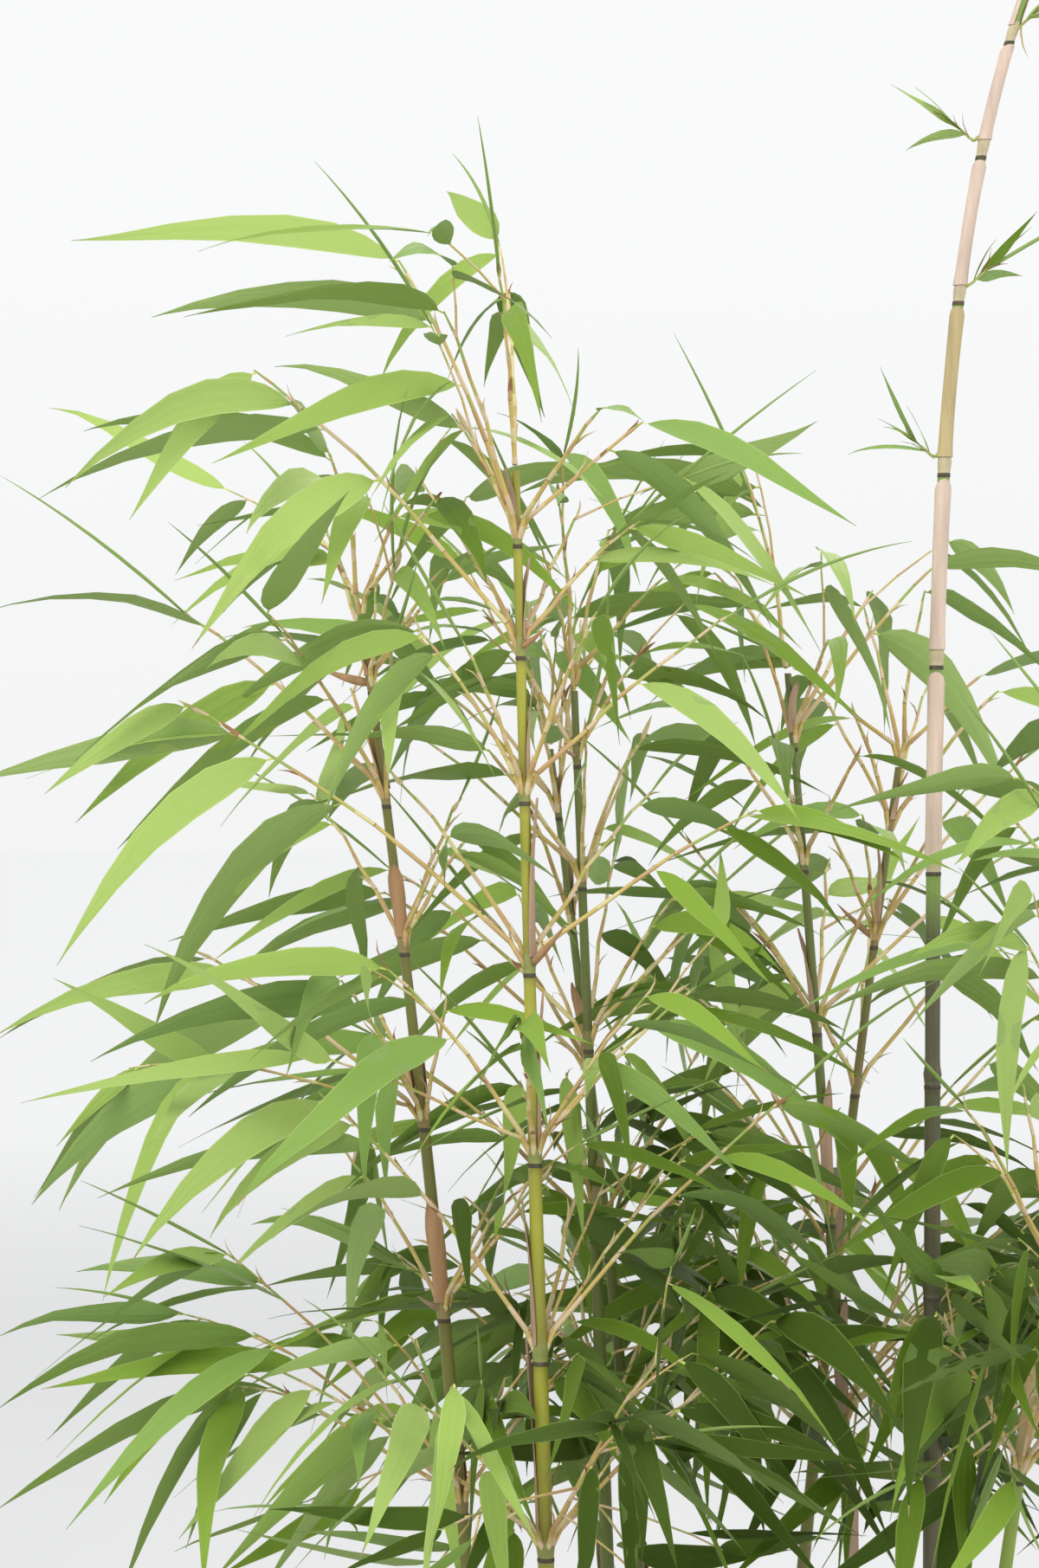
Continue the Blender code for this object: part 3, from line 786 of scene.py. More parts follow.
def plan_leaves(culm, order, number, branch):
    """The leaves of a branch, each as a list of tries that get shorter."""
    rng = random.Random(f"leaves {culm.name} {order} {number}")
    side = rng.choice((-1, 1))
    leaves = [[grow_spear(rng, branch)]] if (order + number) % 4 == 1 else []
    for share, droop in LEAF_PLACES if branch.length > LONG_BRANCH else LEAF_PLACES[:2]:
        length = LEAF_LENGTH * rng.uniform(*LEAF_SPREAD)
        length *= LEAF_BY_BRANCH[0] + LEAF_BY_BRANCH[1] * branch.length
        tries = [(share - TRY_BACK * i, length * (1 - TRY_SHORTER * i)) for i in range(LEAF_TRIES)]
        leaves.append([grow_leaf(rng, branch, at, side, size, droop) for at, size in tries])
        side = -side
    return leaves


# %% The tufts on the new shoot
TUFT_STEM, TUFT_TWIG, TUFT_RISE = 0.005, 0.034, 66.0
TUFT_LEAF_LENGTH, TUFT_SPREAD = 0.074, (0.8, 1.25)
TUFT_PLACES = ((0.98, -34), (0.75, -22), (0.5, -46))


def plan_tuft(order, z):
    rng = random.Random(f"tuft {order}")
    bud = SHOOT.bud + 180 * (order % 2)
    level = heading(bud, 0)
    stem, fork = plan_stem(culm_edge(SHOOT, z, bud, STEM_RADIUS), level, bud, TUFT_STEM)
    shoot = grow_branch(fork, bud, TUFT_RISE, TUFT_TWIG)
    leaves = []
    for share, droop in TUFT_PLACES:
        length = TUFT_LEAF_LENGTH * rng.uniform(*TUFT_SPREAD)
        leaves.append((0, grow_leaf(rng, shoot, share, rng.choice((-1, 1)), length, droop)))
    return stem, [(0, shoot)], leaves


# %% [markdown]
# Leaves on a real plant lie over each other but don't run through each other. Every twig and
# leaf is therefore tested against what is already there, first by its box and then by its
# faces, and one that would touch is tried again a little shorter or is left out.

# %% Sizes for the test
CLEAR = 0.0010
CROWN_HALF = Vector((0.385, 0.355))
CROWN_MIDDLE = Vector((0.0, 0.045))
HULL_STEPS, HULL_SWELL = 12, 2
print("crown:", [round(2 * v, 2) for v in CROWN_HALF], "m across")


# %% Simple hulls of leaves, twigs and canes
def ring_corners(sides, centre, direction, radius):
    side = direction.cross(UP)
    side = side.normalized() if side.length > 1e-4 else Vector((1, 0, 0))
    other = direction.cross(side)
    turns = [math.tau * k / sides for k in range(sides)]
    return [centre + (side * math.cos(turn) + other * math.sin(turn)) * radius for turn in turns]


def leaf_hull(leaf, clear=0.0):
    along_leaf = (leaf.tip - leaf.waist).normalized()
    up = leaf.across.cross(along_leaf).normalized()
    side, lift = leaf.across * (leaf.width / 2 + clear), up * (leaf.thick / 2 + clear)
    ring = [leaf.waist + side, leaf.waist + lift, leaf.waist - side, leaf.waist - lift]
    ends = [leaf.base, leaf.tip + along_leaf * clear]
    faces = [(i, (i + 1) % 4, 4) for i in range(4)] + [((i + 1) % 4, i, 5) for i in range(4)]
    return ring + ends, faces


def tube_hull(path, radii, clear=0.0):
    points, faces = [], []
    for i, (point, radius) in enumerate(zip(path, radii)):
        ahead = (path[min(i + 1, len(path) - 1)] - path[max(i - 1, 0)]).normalized()
        points += ring_corners(3, point, ahead, radius + clear)
        if i:
            for k in range(3):
                a, b = 3 * i + k, 3 * i + (k + 1) % 3
                faces.append((a - 3, b - 3, b, a))
    return points, faces


def culm_hull(culm):
    rise = culm.top - SOIL_LEVEL
    heights = [SOIL_LEVEL + rise * i / HULL_STEPS for i in range(HULL_STEPS + 1)]
    radii = [culm_radius(culm, z) * NODE_SWELL * HULL_SWELL for z in heights]
    return tube_hull([culm_axis(culm, z) for z in heights], radii)


def crown_reach(x, y):
    """How far out a place is in the crown seen from above: 0 in its middle, 1 at its edge."""
    return math.hypot((x - CROWN_MIDDLE.x) / CROWN_HALF.x, (y - CROWN_MIDDLE.y) / CROWN_HALF.y)


# %% What is already taken
MOST_HULLS = 6000


class Space:
    """Boxes in arrays and one search tree for each hull. The canes are there from the start."""

    def __init__(self):
        self.owners, self.trees = [], []
        self.low, self.high = np.empty((MOST_HULLS, 3)), np.empty((MOST_HULLS, 3))
        for culm in CULMS + (SHOOT,):
            self.add(culm.name, culm_hull(culm))

    def add(self, owner, hull):
        corners = np.array(hull[0])
        self.low[len(self.trees)] = corners.min(0)
        self.high[len(self.trees)] = corners.max(0)
        self.owners.append(owner)
        self.trees.append(BVHTree.FromPolygons(*hull))

    def free(self, hull, own):
        """Whether a hull touches nothing but what is its own, by the start of the owner's name."""
        corners, tree, n = np.array(hull[0]), BVHTree.FromPolygons(*hull), len(self.trees)
        near = (corners.max(0) >= self.low[:n]) & (corners.min(0) <= self.high[:n])
        return not any(
            not self.owners[i].startswith(own) and tree.overlap(self.trees[i])
            for i in np.flatnonzero(near.all(1))
        )


# %% The solid model's plan, mass by mass
space = Space()
plan, waiting, growing = {}, [], []
for name, (culm, order, z) in joints_of.items():
    if culm is SHOOT:
        plan[name] = plan_tuft(order, z)
        for i, leaf in plan[name][2]:
            space.add(name, leaf_hull(leaf))
    else:
        stem, branches = plan_fan(culm, order, z)
        plan[name] = (stem, [], [])
        space.add(f"{name}/stem", tube_hull(stem.path, stem.radii))
        waiting += [(name, culm, order, i, branch) for i, branch in enumerate(branches)]
for name, culm, order, i, branch in waiting:
    if space.free(tube_hull(branch.path, branch.radii, CLEAR), f"{name}/"):
        space.add(f"{name}/{i}", tube_hull(branch.path, branch.radii))
        plan[name][1].append((i, branch))
        growing.append((name, i, f"{name}/{i}", plan_leaves(culm, order, i, branch)))
for turn in range(max(len(leaves) for name, i, own, leaves in growing)):
    for name, i, own, leaves in growing:
        for leaf in leaves[turn] if turn < len(leaves) else []:
            if crown_reach(leaf.tip.x, leaf.tip.y) < 1 and space.free(leaf_hull(leaf, CLEAR), own):
                space.add("leaf", leaf_hull(leaf))
                plan[name][2].append((i, leaf))
                break
print("plan:", len(plan), "masses,", sum(len(p[2]) for p in plan.values()), "leaves as in the solids")

# %% [markdown]
# ## Twigs, bent and jointed
# A straight line is only where a branch of the solid model runs. A real bamboo twig leaves the
# cane close to it, hugs it for a centimetre, swings out, and then bows under its own leaves. It
# is straight between its joints and turns a little at each one. So every branch becomes a chain
# of joints.

# %% Joints along a twig
Twig = namedtuple("Twig", "mass number points shares radii azimuth")
ARCH, SIDE_ARCH = 0.045, 0.03
KINK, KINK_SIDE, KINK_LIFT = 0.006, (0.3, 1.3), (-0.7, 0.7)
BRANCH_JOINTS = (0, 0.08, 0.32, 0.48, 0.66, 0.84, 0.94, 1)
SIDE_JOINTS = (0, 0.42, 0.78, 1)
LEAVES_CANE, HUGS_CANE = 0.003, 0.017
BRANCH_SUNK, HUG_OFF, HUG_SHARE = 0.5, 1.3, 0.5


def bend(rng, start, tip, arch, shares):
    """The joints of a twig from start to tip, which arches up and turns at each joint."""
    way = tip - start
    side = way.cross(UP)
    side = side.normalized() if side.length > 1e-5 else Vector((1, 0, 0))
    lift = side.cross(way).normalized()
    points = []
    for k, s in enumerate(shares):
        off = lift * arch * 4 * s * (1 - s)
        if 0 < s < 1:
            kink = side * KINK * (-1) ** k * rng.uniform(*KINK_SIDE)
            off += kink + lift * KINK * rng.uniform(*KINK_LIFT)
        points.append(start + way * s + off * way.length)
    return points


def twig_at(twig, share):
    """The point on a twig at a share of its length, and the direction it runs there."""
    for k in range(len(twig.shares) - 1):
        if share <= twig.shares[k + 1] or k == len(twig.shares) - 2:
            low, high = twig.shares[k], twig.shares[k + 1]
            a, b = twig.points[k], twig.points[k + 1]
            return a.lerp(b, (share - low) / (high - low)), (b - a).normalized()


def branch_from_cane(rng, mass, number, azimuth, tip, radii):
    """A branch that leaves its cane at a joint, hugs it and swings out to its tip."""
    culm, order, z = joints_of[mass]
    out = heading(azimuth, 0)
    start = culm_axis(culm, z + LEAVES_CANE) + out * culm_radius(culm, z) * BRANCH_SUNK
    points = bend(rng, start, tip, ARCH, BRANCH_JOINTS)
    hug = culm_axis(culm, z + HUGS_CANE) + out * (culm_radius(culm, z) + radii[0] * HUG_OFF)
    points[1] = hug.lerp(points[1], HUG_SHARE)
    return Twig(mass, number, points, BRANCH_JOINTS, radii, azimuth)


def twig_hull(twig, clear=0.0):
    first, last = twig.radii
    return tube_hull(twig.points, [first + (last - first) * s for s in twig.shares], clear)


def owner(twig):
    return f"{twig.mass}/{twig.number}"


def draws(label, twig):
    """The random draws that are a twig's own, for one purpose."""
    return random.Random(f"{label} {twig.mass} {twig.number}")


# %% [markdown]
# The solid model's leaves are larger than life, because it may hold only a few. Most of them
# are therefore shortened and made narrower here, and some are left out where the crown is thin
# and the sky shows through it. The furthest ones of the whole plant and the long ones that reach
# out at its left front stay as they are.

# %% Where leaves are left out or kept whole
SHORTENED = (0.64, 0.93)
WIDTH_SHARES = (0.118, 0.152)
TUFT_SHARE, TUFT_TWIG_SHARE, TUFT_WIDTH = 0.50, 0.45, 0.8
TOP_SHARE = 0.72
EDGE_ROOM = 0.012
FACE_OUT_CHANCE = 0.5
OPEN_HEIGHTS, OPEN_CHANCES = (0.66, 0.74, 0.82, 1.06, 1.12), (0.0, 0.2, 0.36, 0.24, 0.20)
ALL = math.inf
OPEN_ZONES = (
    (0.15, ALL, 0.95, ALL, 0.9),
    (-0.05, ALL, 1.10, ALL, 0.7),
    (0.08, ALL, 0.92, ALL, 0.7),
    (-0.27, -0.13, 0.96, ALL, 0.52),
    (-0.03, 0.05, 0.91, 1.0, 0.52),
)


def clamp(value, low=0.0, high=1.0):
    return min(max(value, low), high)


def open_chance(point):
    """The chance that a leaf is left out, in zones of the front view or else by its height."""
    for left, right, low, high, chance in OPEN_ZONES:
        if left < point.x < right and low < point.z < high:
            return chance
    return float(np.interp(point.z, OPEN_HEIGHTS, OPEN_CHANCES))


# %% Places where leaves stay as they are, or are shorter still
def left_front(point):
    """Whether a point is at the crown's left front, where the longest leaves reach out."""
    return point.x < -0.23 and point.y < 0.06 and point.z > 0.70


def at_top(point):
    """Whether a point is in the thin top of the crown, where leaves are shorter still."""
    return point.z > 1.06 and point.x > -0.04 or point.z > 1.13


def at_edge(point):
    """Whether a point is among the furthest of the whole plant."""
    return any(
        point[k] < cad_low[k] + EDGE_ROOM or point[k] > cad_high[k] - EDGE_ROOM for k in range(3)
    )


# %% Turning leaves outward
def face_out(rng, point, outer, across):
    """Turns half of the leaves that face inward, so that their upper side looks out."""
    level = outer.cross(UP).normalized()
    away = Vector((point.x - CROWN_MIDDLE.x, point.y - CROWN_MIDDLE.y, 0))
    if across.cross(outer).dot(away) < 0 and rng.random() < FACE_OUT_CHANCE:
        return (2 * across.dot(level) * level - across).normalized()
    return across


# %% First growth: branches of the solid model, bent, and their leaves
BENT_RADII, TUFT_RADII = (BRANCH_RADIUS, 0.0007), (0.0010, 0.0006)


def resettled(rng, twig, path, leaf):
    """A leaf of the solid model moved onto its bent twig, and where along the twig it sits."""
    start, tip = path
    tuft, spear = twig.mass.startswith("tuft"), leaf.width == leaf.thick
    edge = at_edge(leaf.tip)
    share = clamp((leaf.base - start).dot(tip - start) / (tip - start).length_squared, 0.3)
    base, way = twig_at(twig, share)
    k = 1.0 if spear or edge or left_front(leaf.tip) else rng.uniform(*SHORTENED)
    if tuft and not edge:
        k *= TUFT_SHARE
    if k < 1 and at_top(leaf.tip):
        k *= TOP_SHARE
    tip, waist = base.lerp(leaf.tip, k), base + (leaf.waist - leaf.base) * k
    width = leaf.width if spear else (tip - base).length * rng.uniform(*WIDTH_SHARES)
    width *= TUFT_WIDTH if tuft else 1.0
    across = face_out(rng, base, (tip - waist).normalized(), leaf.across)
    return Leaf(base, waist, tip, across, width, leaf.thick), share


space = Space()
twigs, leaves, spears = [], [], []
for name, (stem, branches, grown) in plan.items():
    tuft, paths, bent = name.startswith("tuft"), {}, {}
    for i, branch in branches:
        rng = random.Random(f"bend {name} {i}")
        start, tip = paths[i] = branch.path
        end = start.lerp(tip, TUFT_TWIG_SHARE) if tuft else tip
        sizes = TUFT_RADII if tuft else BENT_RADII
        bent[i] = branch_from_cane(rng, name, i, branch.heading, end, sizes)
        twigs.append(bent[i])
        space.add(owner(bent[i]), twig_hull(bent[i]))
    for i, leaf in grown:
        if not tuft and rng.random() < open_chance(leaf.tip) \
                and not at_edge(leaf.tip) and not left_front(leaf.tip):
            continue
        moved, share = resettled(rng, bent[i], paths[i], leaf)
        (spears if leaf.width == leaf.thick else leaves).append((bent[i], moved, share))
for twig, leaf, share in leaves + spears:
    space.add(f"{owner(twig)}/leaf", leaf_hull(leaf))
print("first growth:", len(twigs), "branches,", len(leaves), "leaves,", len(spears), "rolled leaves")

# %% [markdown]
# ## Second growth
# The second growth fills the fans: thinner branches between the ones there are, then side twigs
# at the joints of every branch, each with two or three leaves near its end. `crown_share` says
# how dense it is at a place: dense low down on the right, thin higher up, where the sky shows
# between the sprays, and a little denser again round the top of the front cane.

# %% How dense the second growth is
FULLNESS_HEIGHTS = (0.58, 0.66, 0.73, 0.80, 0.88, 0.98, 1.07)
FULLNESS = (2.4, 1.1, 0.42, 0.24, 0.14, 0.08, 0.42)
LOW_LEVEL = 0.70
LOW_PLACES, LOW_FULLNESS = (-0.24, -0.12, 0.0, 0.08), (0.25, 0.5, 1.1, 1.6)
BARE_TOP, BARE_TOP_LEFT = 1.12, -0.06
THIN_TOP, THIN_TOP_LEFT, THIN_TOP_FADE = 0.90, 0.04, 0.08
BOX_ROOM = 0.004
lowest_leaf = min(leaf.tip.z for twig, leaf, share in leaves)
print("leaves hang down to", round(lowest_leaf, 3))


def crown_share(point):
    """How much second growth there is at a point: 0 for none, 1 and above for dense."""
    x, y, z = point
    if z > BARE_TOP and x > BARE_TOP_LEFT:
        return 0.0
    full = float(np.interp(z, FULLNESS_HEIGHTS, FULLNESS))
    right_top = clamp((x - THIN_TOP_LEFT) / THIN_TOP_FADE) * (z > THIN_TOP)
    low = float(np.interp(x, LOW_PLACES, LOW_FULLNESS)) if z < LOW_LEVEL else 1.0
    return full * (1 - right_top) * low


def in_reach(point):
    """Whether a point is inside the crown and the solid model's box."""
    return crown_reach(point.x, point.y) < 1 and point.z > lowest_leaf and all(
        cad_low[k] + BOX_ROOM < point[k] < cad_high[k] - BOX_ROOM for k in range(3)
    )


# %% Leaves of the second growth
LEAF_CLEAR, BRANCH_CLEAR = 0.0004, 0.0005
FINE_TRIES, FINE_BACK, FINE_SHORTER = 5, 0.02, 0.07
FINE_TURN, FINE_ROLL = (18, 78), (-25, 88)
FINE_TURN_AT_CANE, FINE_TURN_LESS = 1.2, 0.6
FINE_HANG_SPREAD, STEEPEST = 24, 84
HANGING, HANGING_HEIGHTS, HANGING_CHANCES = 38, (0.60, 0.72), (0.60, 0.16)
HANGING_LEFT, HANGING_LEFT_SHARE = -0.12, 0.5
UPRIGHT = 0.2


def grow_fine_leaf(rng, twig, share, side, length, droop):
    """A leaf like the solid model's, from a bent twig. Low down, many of them hang."""
    point, way = twig_at(twig, share)
    spread = side * rng.uniform(*FINE_TURN) * (FINE_TURN_AT_CANE - FINE_TURN_LESS * share)
    level = math.hypot(way.x, way.y) > UPRIGHT
    azimuth = math.degrees(math.atan2(way.y, way.x)) if level else twig.azimuth
    hanging = float(np.interp(point.z, HANGING_HEIGHTS, HANGING_CHANCES))
    hanging *= HANGING_LEFT_SHARE if point.x < HANGING_LEFT else 1.0
    fall = rng.gauss(droop, FINE_HANG_SPREAD) + (HANGING if rng.random() < hanging else 0)
    outer = heading(azimuth + spread, -min(fall, STEEPEST))
    waist, tip = leaf_spine(point, root_way(way, outer), outer, length)
    across = rolled(outer, side * rng.uniform(*FINE_ROLL))
    across = face_out(rng, point, outer, across)
    width = length * rng.uniform(*WIDTH_SHARES)
    return Leaf(point, waist, tip, across, width, length * LEAF_THICK_SHARE)


# %% Adding leaves and thin branches where there is room
def add_leaves(rng, twig, places, lengths):
    """Leaves on alternate sides of a twig, each tried a few times and then left out."""
    side = rng.choice((-1, 1))
    for share, droop in places:
        for i in range(FINE_TRIES):
            length = rng.uniform(*lengths) * (1 - FINE_SHORTER * i)
            leaf = grow_fine_leaf(rng, twig, share - FINE_BACK * i, side, length, droop)
            if in_reach(leaf.tip) and space.free(leaf_hull(leaf, LEAF_CLEAR), owner(twig)):
                space.add(f"{owner(twig)}/leaf", leaf_hull(leaf))
                leaves.append((twig, leaf, share))
                break
        side = -side


def add_branch(twig):
    """Adds a thin branch if nothing but its own fan and cane is in its way."""
    own = (f"{twig.mass}/", joints_of[twig.mass][0].name)
    fits = space.free(twig_hull(twig, BRANCH_CLEAR), own)
    if fits:
        space.add(owner(twig), twig_hull(twig))
        twigs.append(twig)
    return fits


# %% Long sprays at the left
THIN_RADII = (0.0012, 0.0006)
LONG_SPRAYS = (
    ("foliage_left_3", 200, 18, 0.115),
    ("foliage_left_1", 203, 50, 0.180),
    ("foliage_left_1", 215, 42, 0.150),
    ("foliage_front_3", 200, 25, 0.130),
)
LONG_NUMBER = 20
SPRAY_SHIFTS = (0, 6, -6, 12, -12, 18, -18)
LONG_LEAVES, LONG_LEAF_LENGTH = ((0.99, 13), (0.90, 20), (0.78, 11)), (0.132, 0.158)

for k, (name, turn, rise, length) in enumerate(LONG_SPRAYS):
    for shift in SPRAY_SHIFTS:
        rng = random.Random(f"long {name} {k}")
        tip = plan[name][0].path[1] + heading(turn + shift, rise) * length
        twig = branch_from_cane(rng, name, LONG_NUMBER + k, turn + shift, tip, THIN_RADII)
        if add_branch(twig):
            count = len(leaves)
            add_leaves(rng, twig, LONG_LEAVES, LONG_LEAF_LENGTH)
            print("long spray", name, "has", len(leaves) - count, "leaves")
            break

# %% Thin branches in every fan
EXTRA_LENGTH, EXTRA_SPAN, EXTRA_RISE = 0.125, (0.75, 1.15), (44, 66)
EXTRA_TURN, FRONT_TURN = (-115, 115), (55, 105)
EXTRA_BRANCHES, FRONT_BRANCHES, FRONT_ORDERS = 2, 5, 5
MORE_BRANCHES, MORE_ORDERS = 2, 3
LOW_RIGHT_BRANCHES = (3, 1)


def extra_branches(culm, order):
    """How many thin branches are tried in the fan at a joint."""
    if culm.name == "culm_front" and order < FRONT_ORDERS:
        return FRONT_BRANCHES
    if culm.name in ("culm_left", "culm_centre") and order < MORE_ORDERS:
        return EXTRA_BRANCHES + MORE_BRANCHES
    if culm.head[0] > 0 and order < len(LOW_RIGHT_BRANCHES):
        return EXTRA_BRANCHES + LOW_RIGHT_BRANCHES[order]
    return EXTRA_BRANCHES


for name, (culm, order, z) in joints_of.items():
    for extra in range(extra_branches(culm, order) if culm is not SHOOT else 0):
        stem = plan[name][0]
        rng = random.Random(f"extra {name} {extra}")
        turn = stem.heading + rng.uniform(*EXTRA_TURN)
        if culm.name == "culm_front":
            turn = stem.heading + rng.choice((-1, 1)) * rng.uniform(*FRONT_TURN)
        up = order / (culm.joints - culm.bare - 1)
        length = EXTRA_LENGTH * culm.reach * (1 - LENGTH_UP * up**2) * rng.uniform(*EXTRA_SPAN)
        tip = stem.path[1] + heading(turn, rng.uniform(*EXTRA_RISE)) * length
        twig = branch_from_cane(rng, name, FAN + extra, turn, tip, THIN_RADII)
        if rng.random() < crown_share(tip):
            add_branch(twig)
print("branches:", len(twigs))

# %% [markdown]
# A side twig grows from a joint of its branch, on alternate sides. On the lowest fans a few
# more of them hang down. The branches in front are bare near the cane, so the places nearest to
# it are skipped there.

# %% Side twigs
SIDE_RADII = (0.0008, 0.0005)
SIDE_LENGTH = (0.034, 0.072)
SIDE_PLACES = ((0.84, 0.62), (0.66, 0.52), (0.48, 0.40), (0.32, 0.28), (0.40, 0.4), (0.22, 0.4))
INNER_PLACES, HANGING_PLACES = (2, 3), (4, 5)
BARE_FANS = ("foliage_front", "foliage_left", "foliage_centre")
SIDE_TURN, SIDE_RISE = (24, 50), (-22, 10)
HANGING_TURN, HANGING_RISE, HANGING_STRETCH = 25, (-45, -5), 1.25


def side_twig(rng, twig, k, side):
    """The side twig at one place of a branch, or None where the crown is thin."""
    place, chance = SIDE_PLACES[k]
    share = place + rng.uniform(0.0, 0.01)
    start, way = twig_at(twig, share)
    if rng.random() > crown_share(start) * chance:
        return None
    turn = twig.azimuth + side * rng.uniform(*SIDE_TURN)
    rise = math.degrees(math.asin(way.z)) + rng.uniform(*SIDE_RISE)
    length = rng.uniform(*SIDE_LENGTH)
    if k in HANGING_PLACES:
        turn, rise = turn + side * HANGING_TURN, rng.uniform(*HANGING_RISE)
        length *= HANGING_STRETCH
    points = bend(rng, start, start + heading(turn, rise) * length, SIDE_ARCH, SIDE_JOINTS)
    return Twig(twig.mass, f"{twig.number}/{k}", points, SIDE_JOINTS, SIDE_RADII, turn)


side_twigs = []
for twig in twigs:
    if twig.mass.startswith("tuft"):
        continue
    rng = draws("sides", twig)
    side = rng.choice((-1, 1))
    skipped = () if twig.mass.endswith("_1") else HANGING_PLACES
    skipped += INNER_PLACES if twig.mass.startswith(BARE_FANS) else ()
    for k in range(len(SIDE_PLACES)):
        side = -side
        small = side_twig(rng, twig, k, side) if k not in skipped else None
        if small and space.free(twig_hull(small, LEAF_CLEAR), owner(twig)):
            space.add(owner(small), twig_hull(small))
            side_twigs.append(small)
print("side twigs:", len(side_twigs))

# %% Leaves at the ends of side twigs and branches
FINE_LEAF_LENGTH, TUFT_FINE_LENGTH = (0.074, 0.134), (0.028, 0.048)
SIDE_LEAVES = ((0.99, 16), (0.82, 26), (0.60, 34))
TIP_LEAVES = ((0.99, 12), (0.86, 26))
TUFT_LEAVES = ((0.95, -48), (0.6, -30))

for twig in side_twigs:
    rng = draws("fine leaves", twig)
    count = 3 if twig.points[0].z < LOW_LEVEL else rng.choice((2, 2, 3))
    add_leaves(rng, twig, SIDE_LEAVES[:count], FINE_LEAF_LENGTH)
for twig in twigs:
    rng = draws("tip leaves", twig)
    if twig.mass.startswith("tuft"):
        add_leaves(rng, twig, TUFT_LEAVES, TUFT_FINE_LENGTH)
    elif rng.random() < crown_share(twig.points[-1]):
        add_leaves(rng, twig, TIP_LEAVES, FINE_LEAF_LENGTH)
print("leaves:", len(leaves))

# %% Rolled young leaves at the tips
SPEAR_CHANCE = 0.2
FINE_SPEAR_LENGTH, FINE_SPEAR_WIDTH = (0.05, 0.105), 0.003
FINE_SPEAR_RISE, FINE_SPEAR_OUTWARD = 5, 0.4

for twig in twigs + side_twigs:
    rng = draws("spear", twig)
    if rng.random() > SPEAR_CHANCE:
        continue
    length = rng.uniform(*FINE_SPEAR_LENGTH)
    outward = heading(twig.azimuth, FINE_SPEAR_RISE) * FINE_SPEAR_OUTWARD
    spear = spear_leaf(*twig_at(twig, 1.0), outward, length, FINE_SPEAR_WIDTH)
    if in_reach(spear.tip) and space.free(leaf_hull(spear, LEAF_CLEAR), owner(twig)):
        space.add(owner(twig), leaf_hull(spear))
        spears.append((twig, spear, 1.0))
print("rolled leaves:", len(spears))

# %% Cutting twigs behind their last leaf
STUB, SIDE_STUB = 0.01, 0.03
last_leaf = {}


def keep_to(mass, number, share):
    last_leaf[mass, number] = max(last_leaf.get((mass, number), 0), share)


def cut(twig):
    """A twig without the bare end behind its last leaf."""
    end = min(last_leaf[twig.mass, twig.number] + STUB, 1.0)
    kept = [k for k, share in enumerate(twig.shares) if share < end]
    points = [twig.points[k] for k in kept] + [twig_at(twig, end)[0]]
    return twig._replace(points=points, shares=[twig.shares[k] for k in kept] + [end])


for twig, leaf, share in leaves + spears:
    keep_to(twig.mass, twig.number, share)
side_twigs = [cut(t) for t in side_twigs if (t.mass, t.number) in last_leaf]
for twig in side_twigs:
    branch, k = map(int, twig.number.split("/"))
    keep_to(twig.mass, branch, SIDE_PLACES[k][0] + SIDE_STUB)
twigs = [cut(t) for t in twigs if (t.mass, t.number) in last_leaf]
print("second growth:", len(twigs), "branches,", len(side_twigs), "side twigs,", len(leaves), "leaves")

# %% [markdown]
# ## Leaves
# A bamboo leaf is a long lance: a short stalk, a rounded base, its widest place at a quarter of
# its length and a long fine point. It is folded along its midrib, arches over, and twists a
# little. Here each leaf is a thin closed shell of 64 small quads, computed for the whole leaf at
# once: four strips above, for the blade and its margins, and two below. Strips are what carry
# its colours, because a plain colour stays exact on so many joined leaves.

# %% The outline and the faces of one leaf
STATIONS = np.array([0, 0.035, 0.07, 0.13, 0.23, 0.37, 0.53, 0.70, 0.86, 0.96, 1.0])
STRIPS = np.array([-1, -0.93, 0, 0.93, 1])
STALK_END, STALK_HALF = 1, 0.0006
WIDEST, ROUND_POWERS, POINT_POWERS = 0.27, (2.3, 0.72), (1.42, 1.22)
TIP_HALF = 0.00012
MARGIN, BLADE, UNDER, STALK, DRY = range(5)
TOP_KINDS = (MARGIN, BLADE, BLADE, MARGIN)


def half_width(shares):
    """The outline of a leaf: half its width at shares of its length, from 0 to 1."""
    u = np.clip((shares - STATIONS[STALK_END]) / (1 - STATIONS[STALK_END]), 0, 1)
    (a, b), (c, d) = ROUND_POWERS, POINT_POWERS
    rise = (1 - np.clip(1 - u / WIDEST, 0, 1) ** a) ** b
    fall = (1 - np.clip((u - WIDEST) / (1 - WIDEST), 0, 1) ** c) ** d
    return np.where(u < WIDEST, rise, fall)


def leaf_faces():
    """Faces of the shell, and the strip that each belongs to."""
    rows = [(STALK,) * RING_SIDES] * STALK_END
    rows += [TOP_KINDS + (UNDER, UNDER)] * (len(STATIONS) - STALK_END - 2)
    rows += [(DRY,) * len(TOP_KINDS) + (UNDER, UNDER)]
    strips = [strip for row in rows for strip in row] + [STALK, STALK, DRY, DRY]
    last = (len(STATIONS) - 1) * RING_SIDES
    ends = [(2, 1, 0, 5), (4, 3, 2, 5)]
    ends += [tuple(last + k for k in end) for end in ((5, 0, 1, 2), (5, 2, 3, 4))]
    return np.array(ring_quads(len(STATIONS)) + ends), np.array(strips)


LEAF_QUADS, LEAF_STRIPS = leaf_faces()
print("one leaf:", len(LEAF_QUADS), "faces")

# %% [markdown]
# The middle line of a leaf is a curve with four handles: it leaves along the twig and comes in
# to a tip that sags. Across it stand the ring points, turned more and more by the twist. Bow,
# kink, fold, curl and waves at the edge are drawn anew for each leaf, so no two are alike.

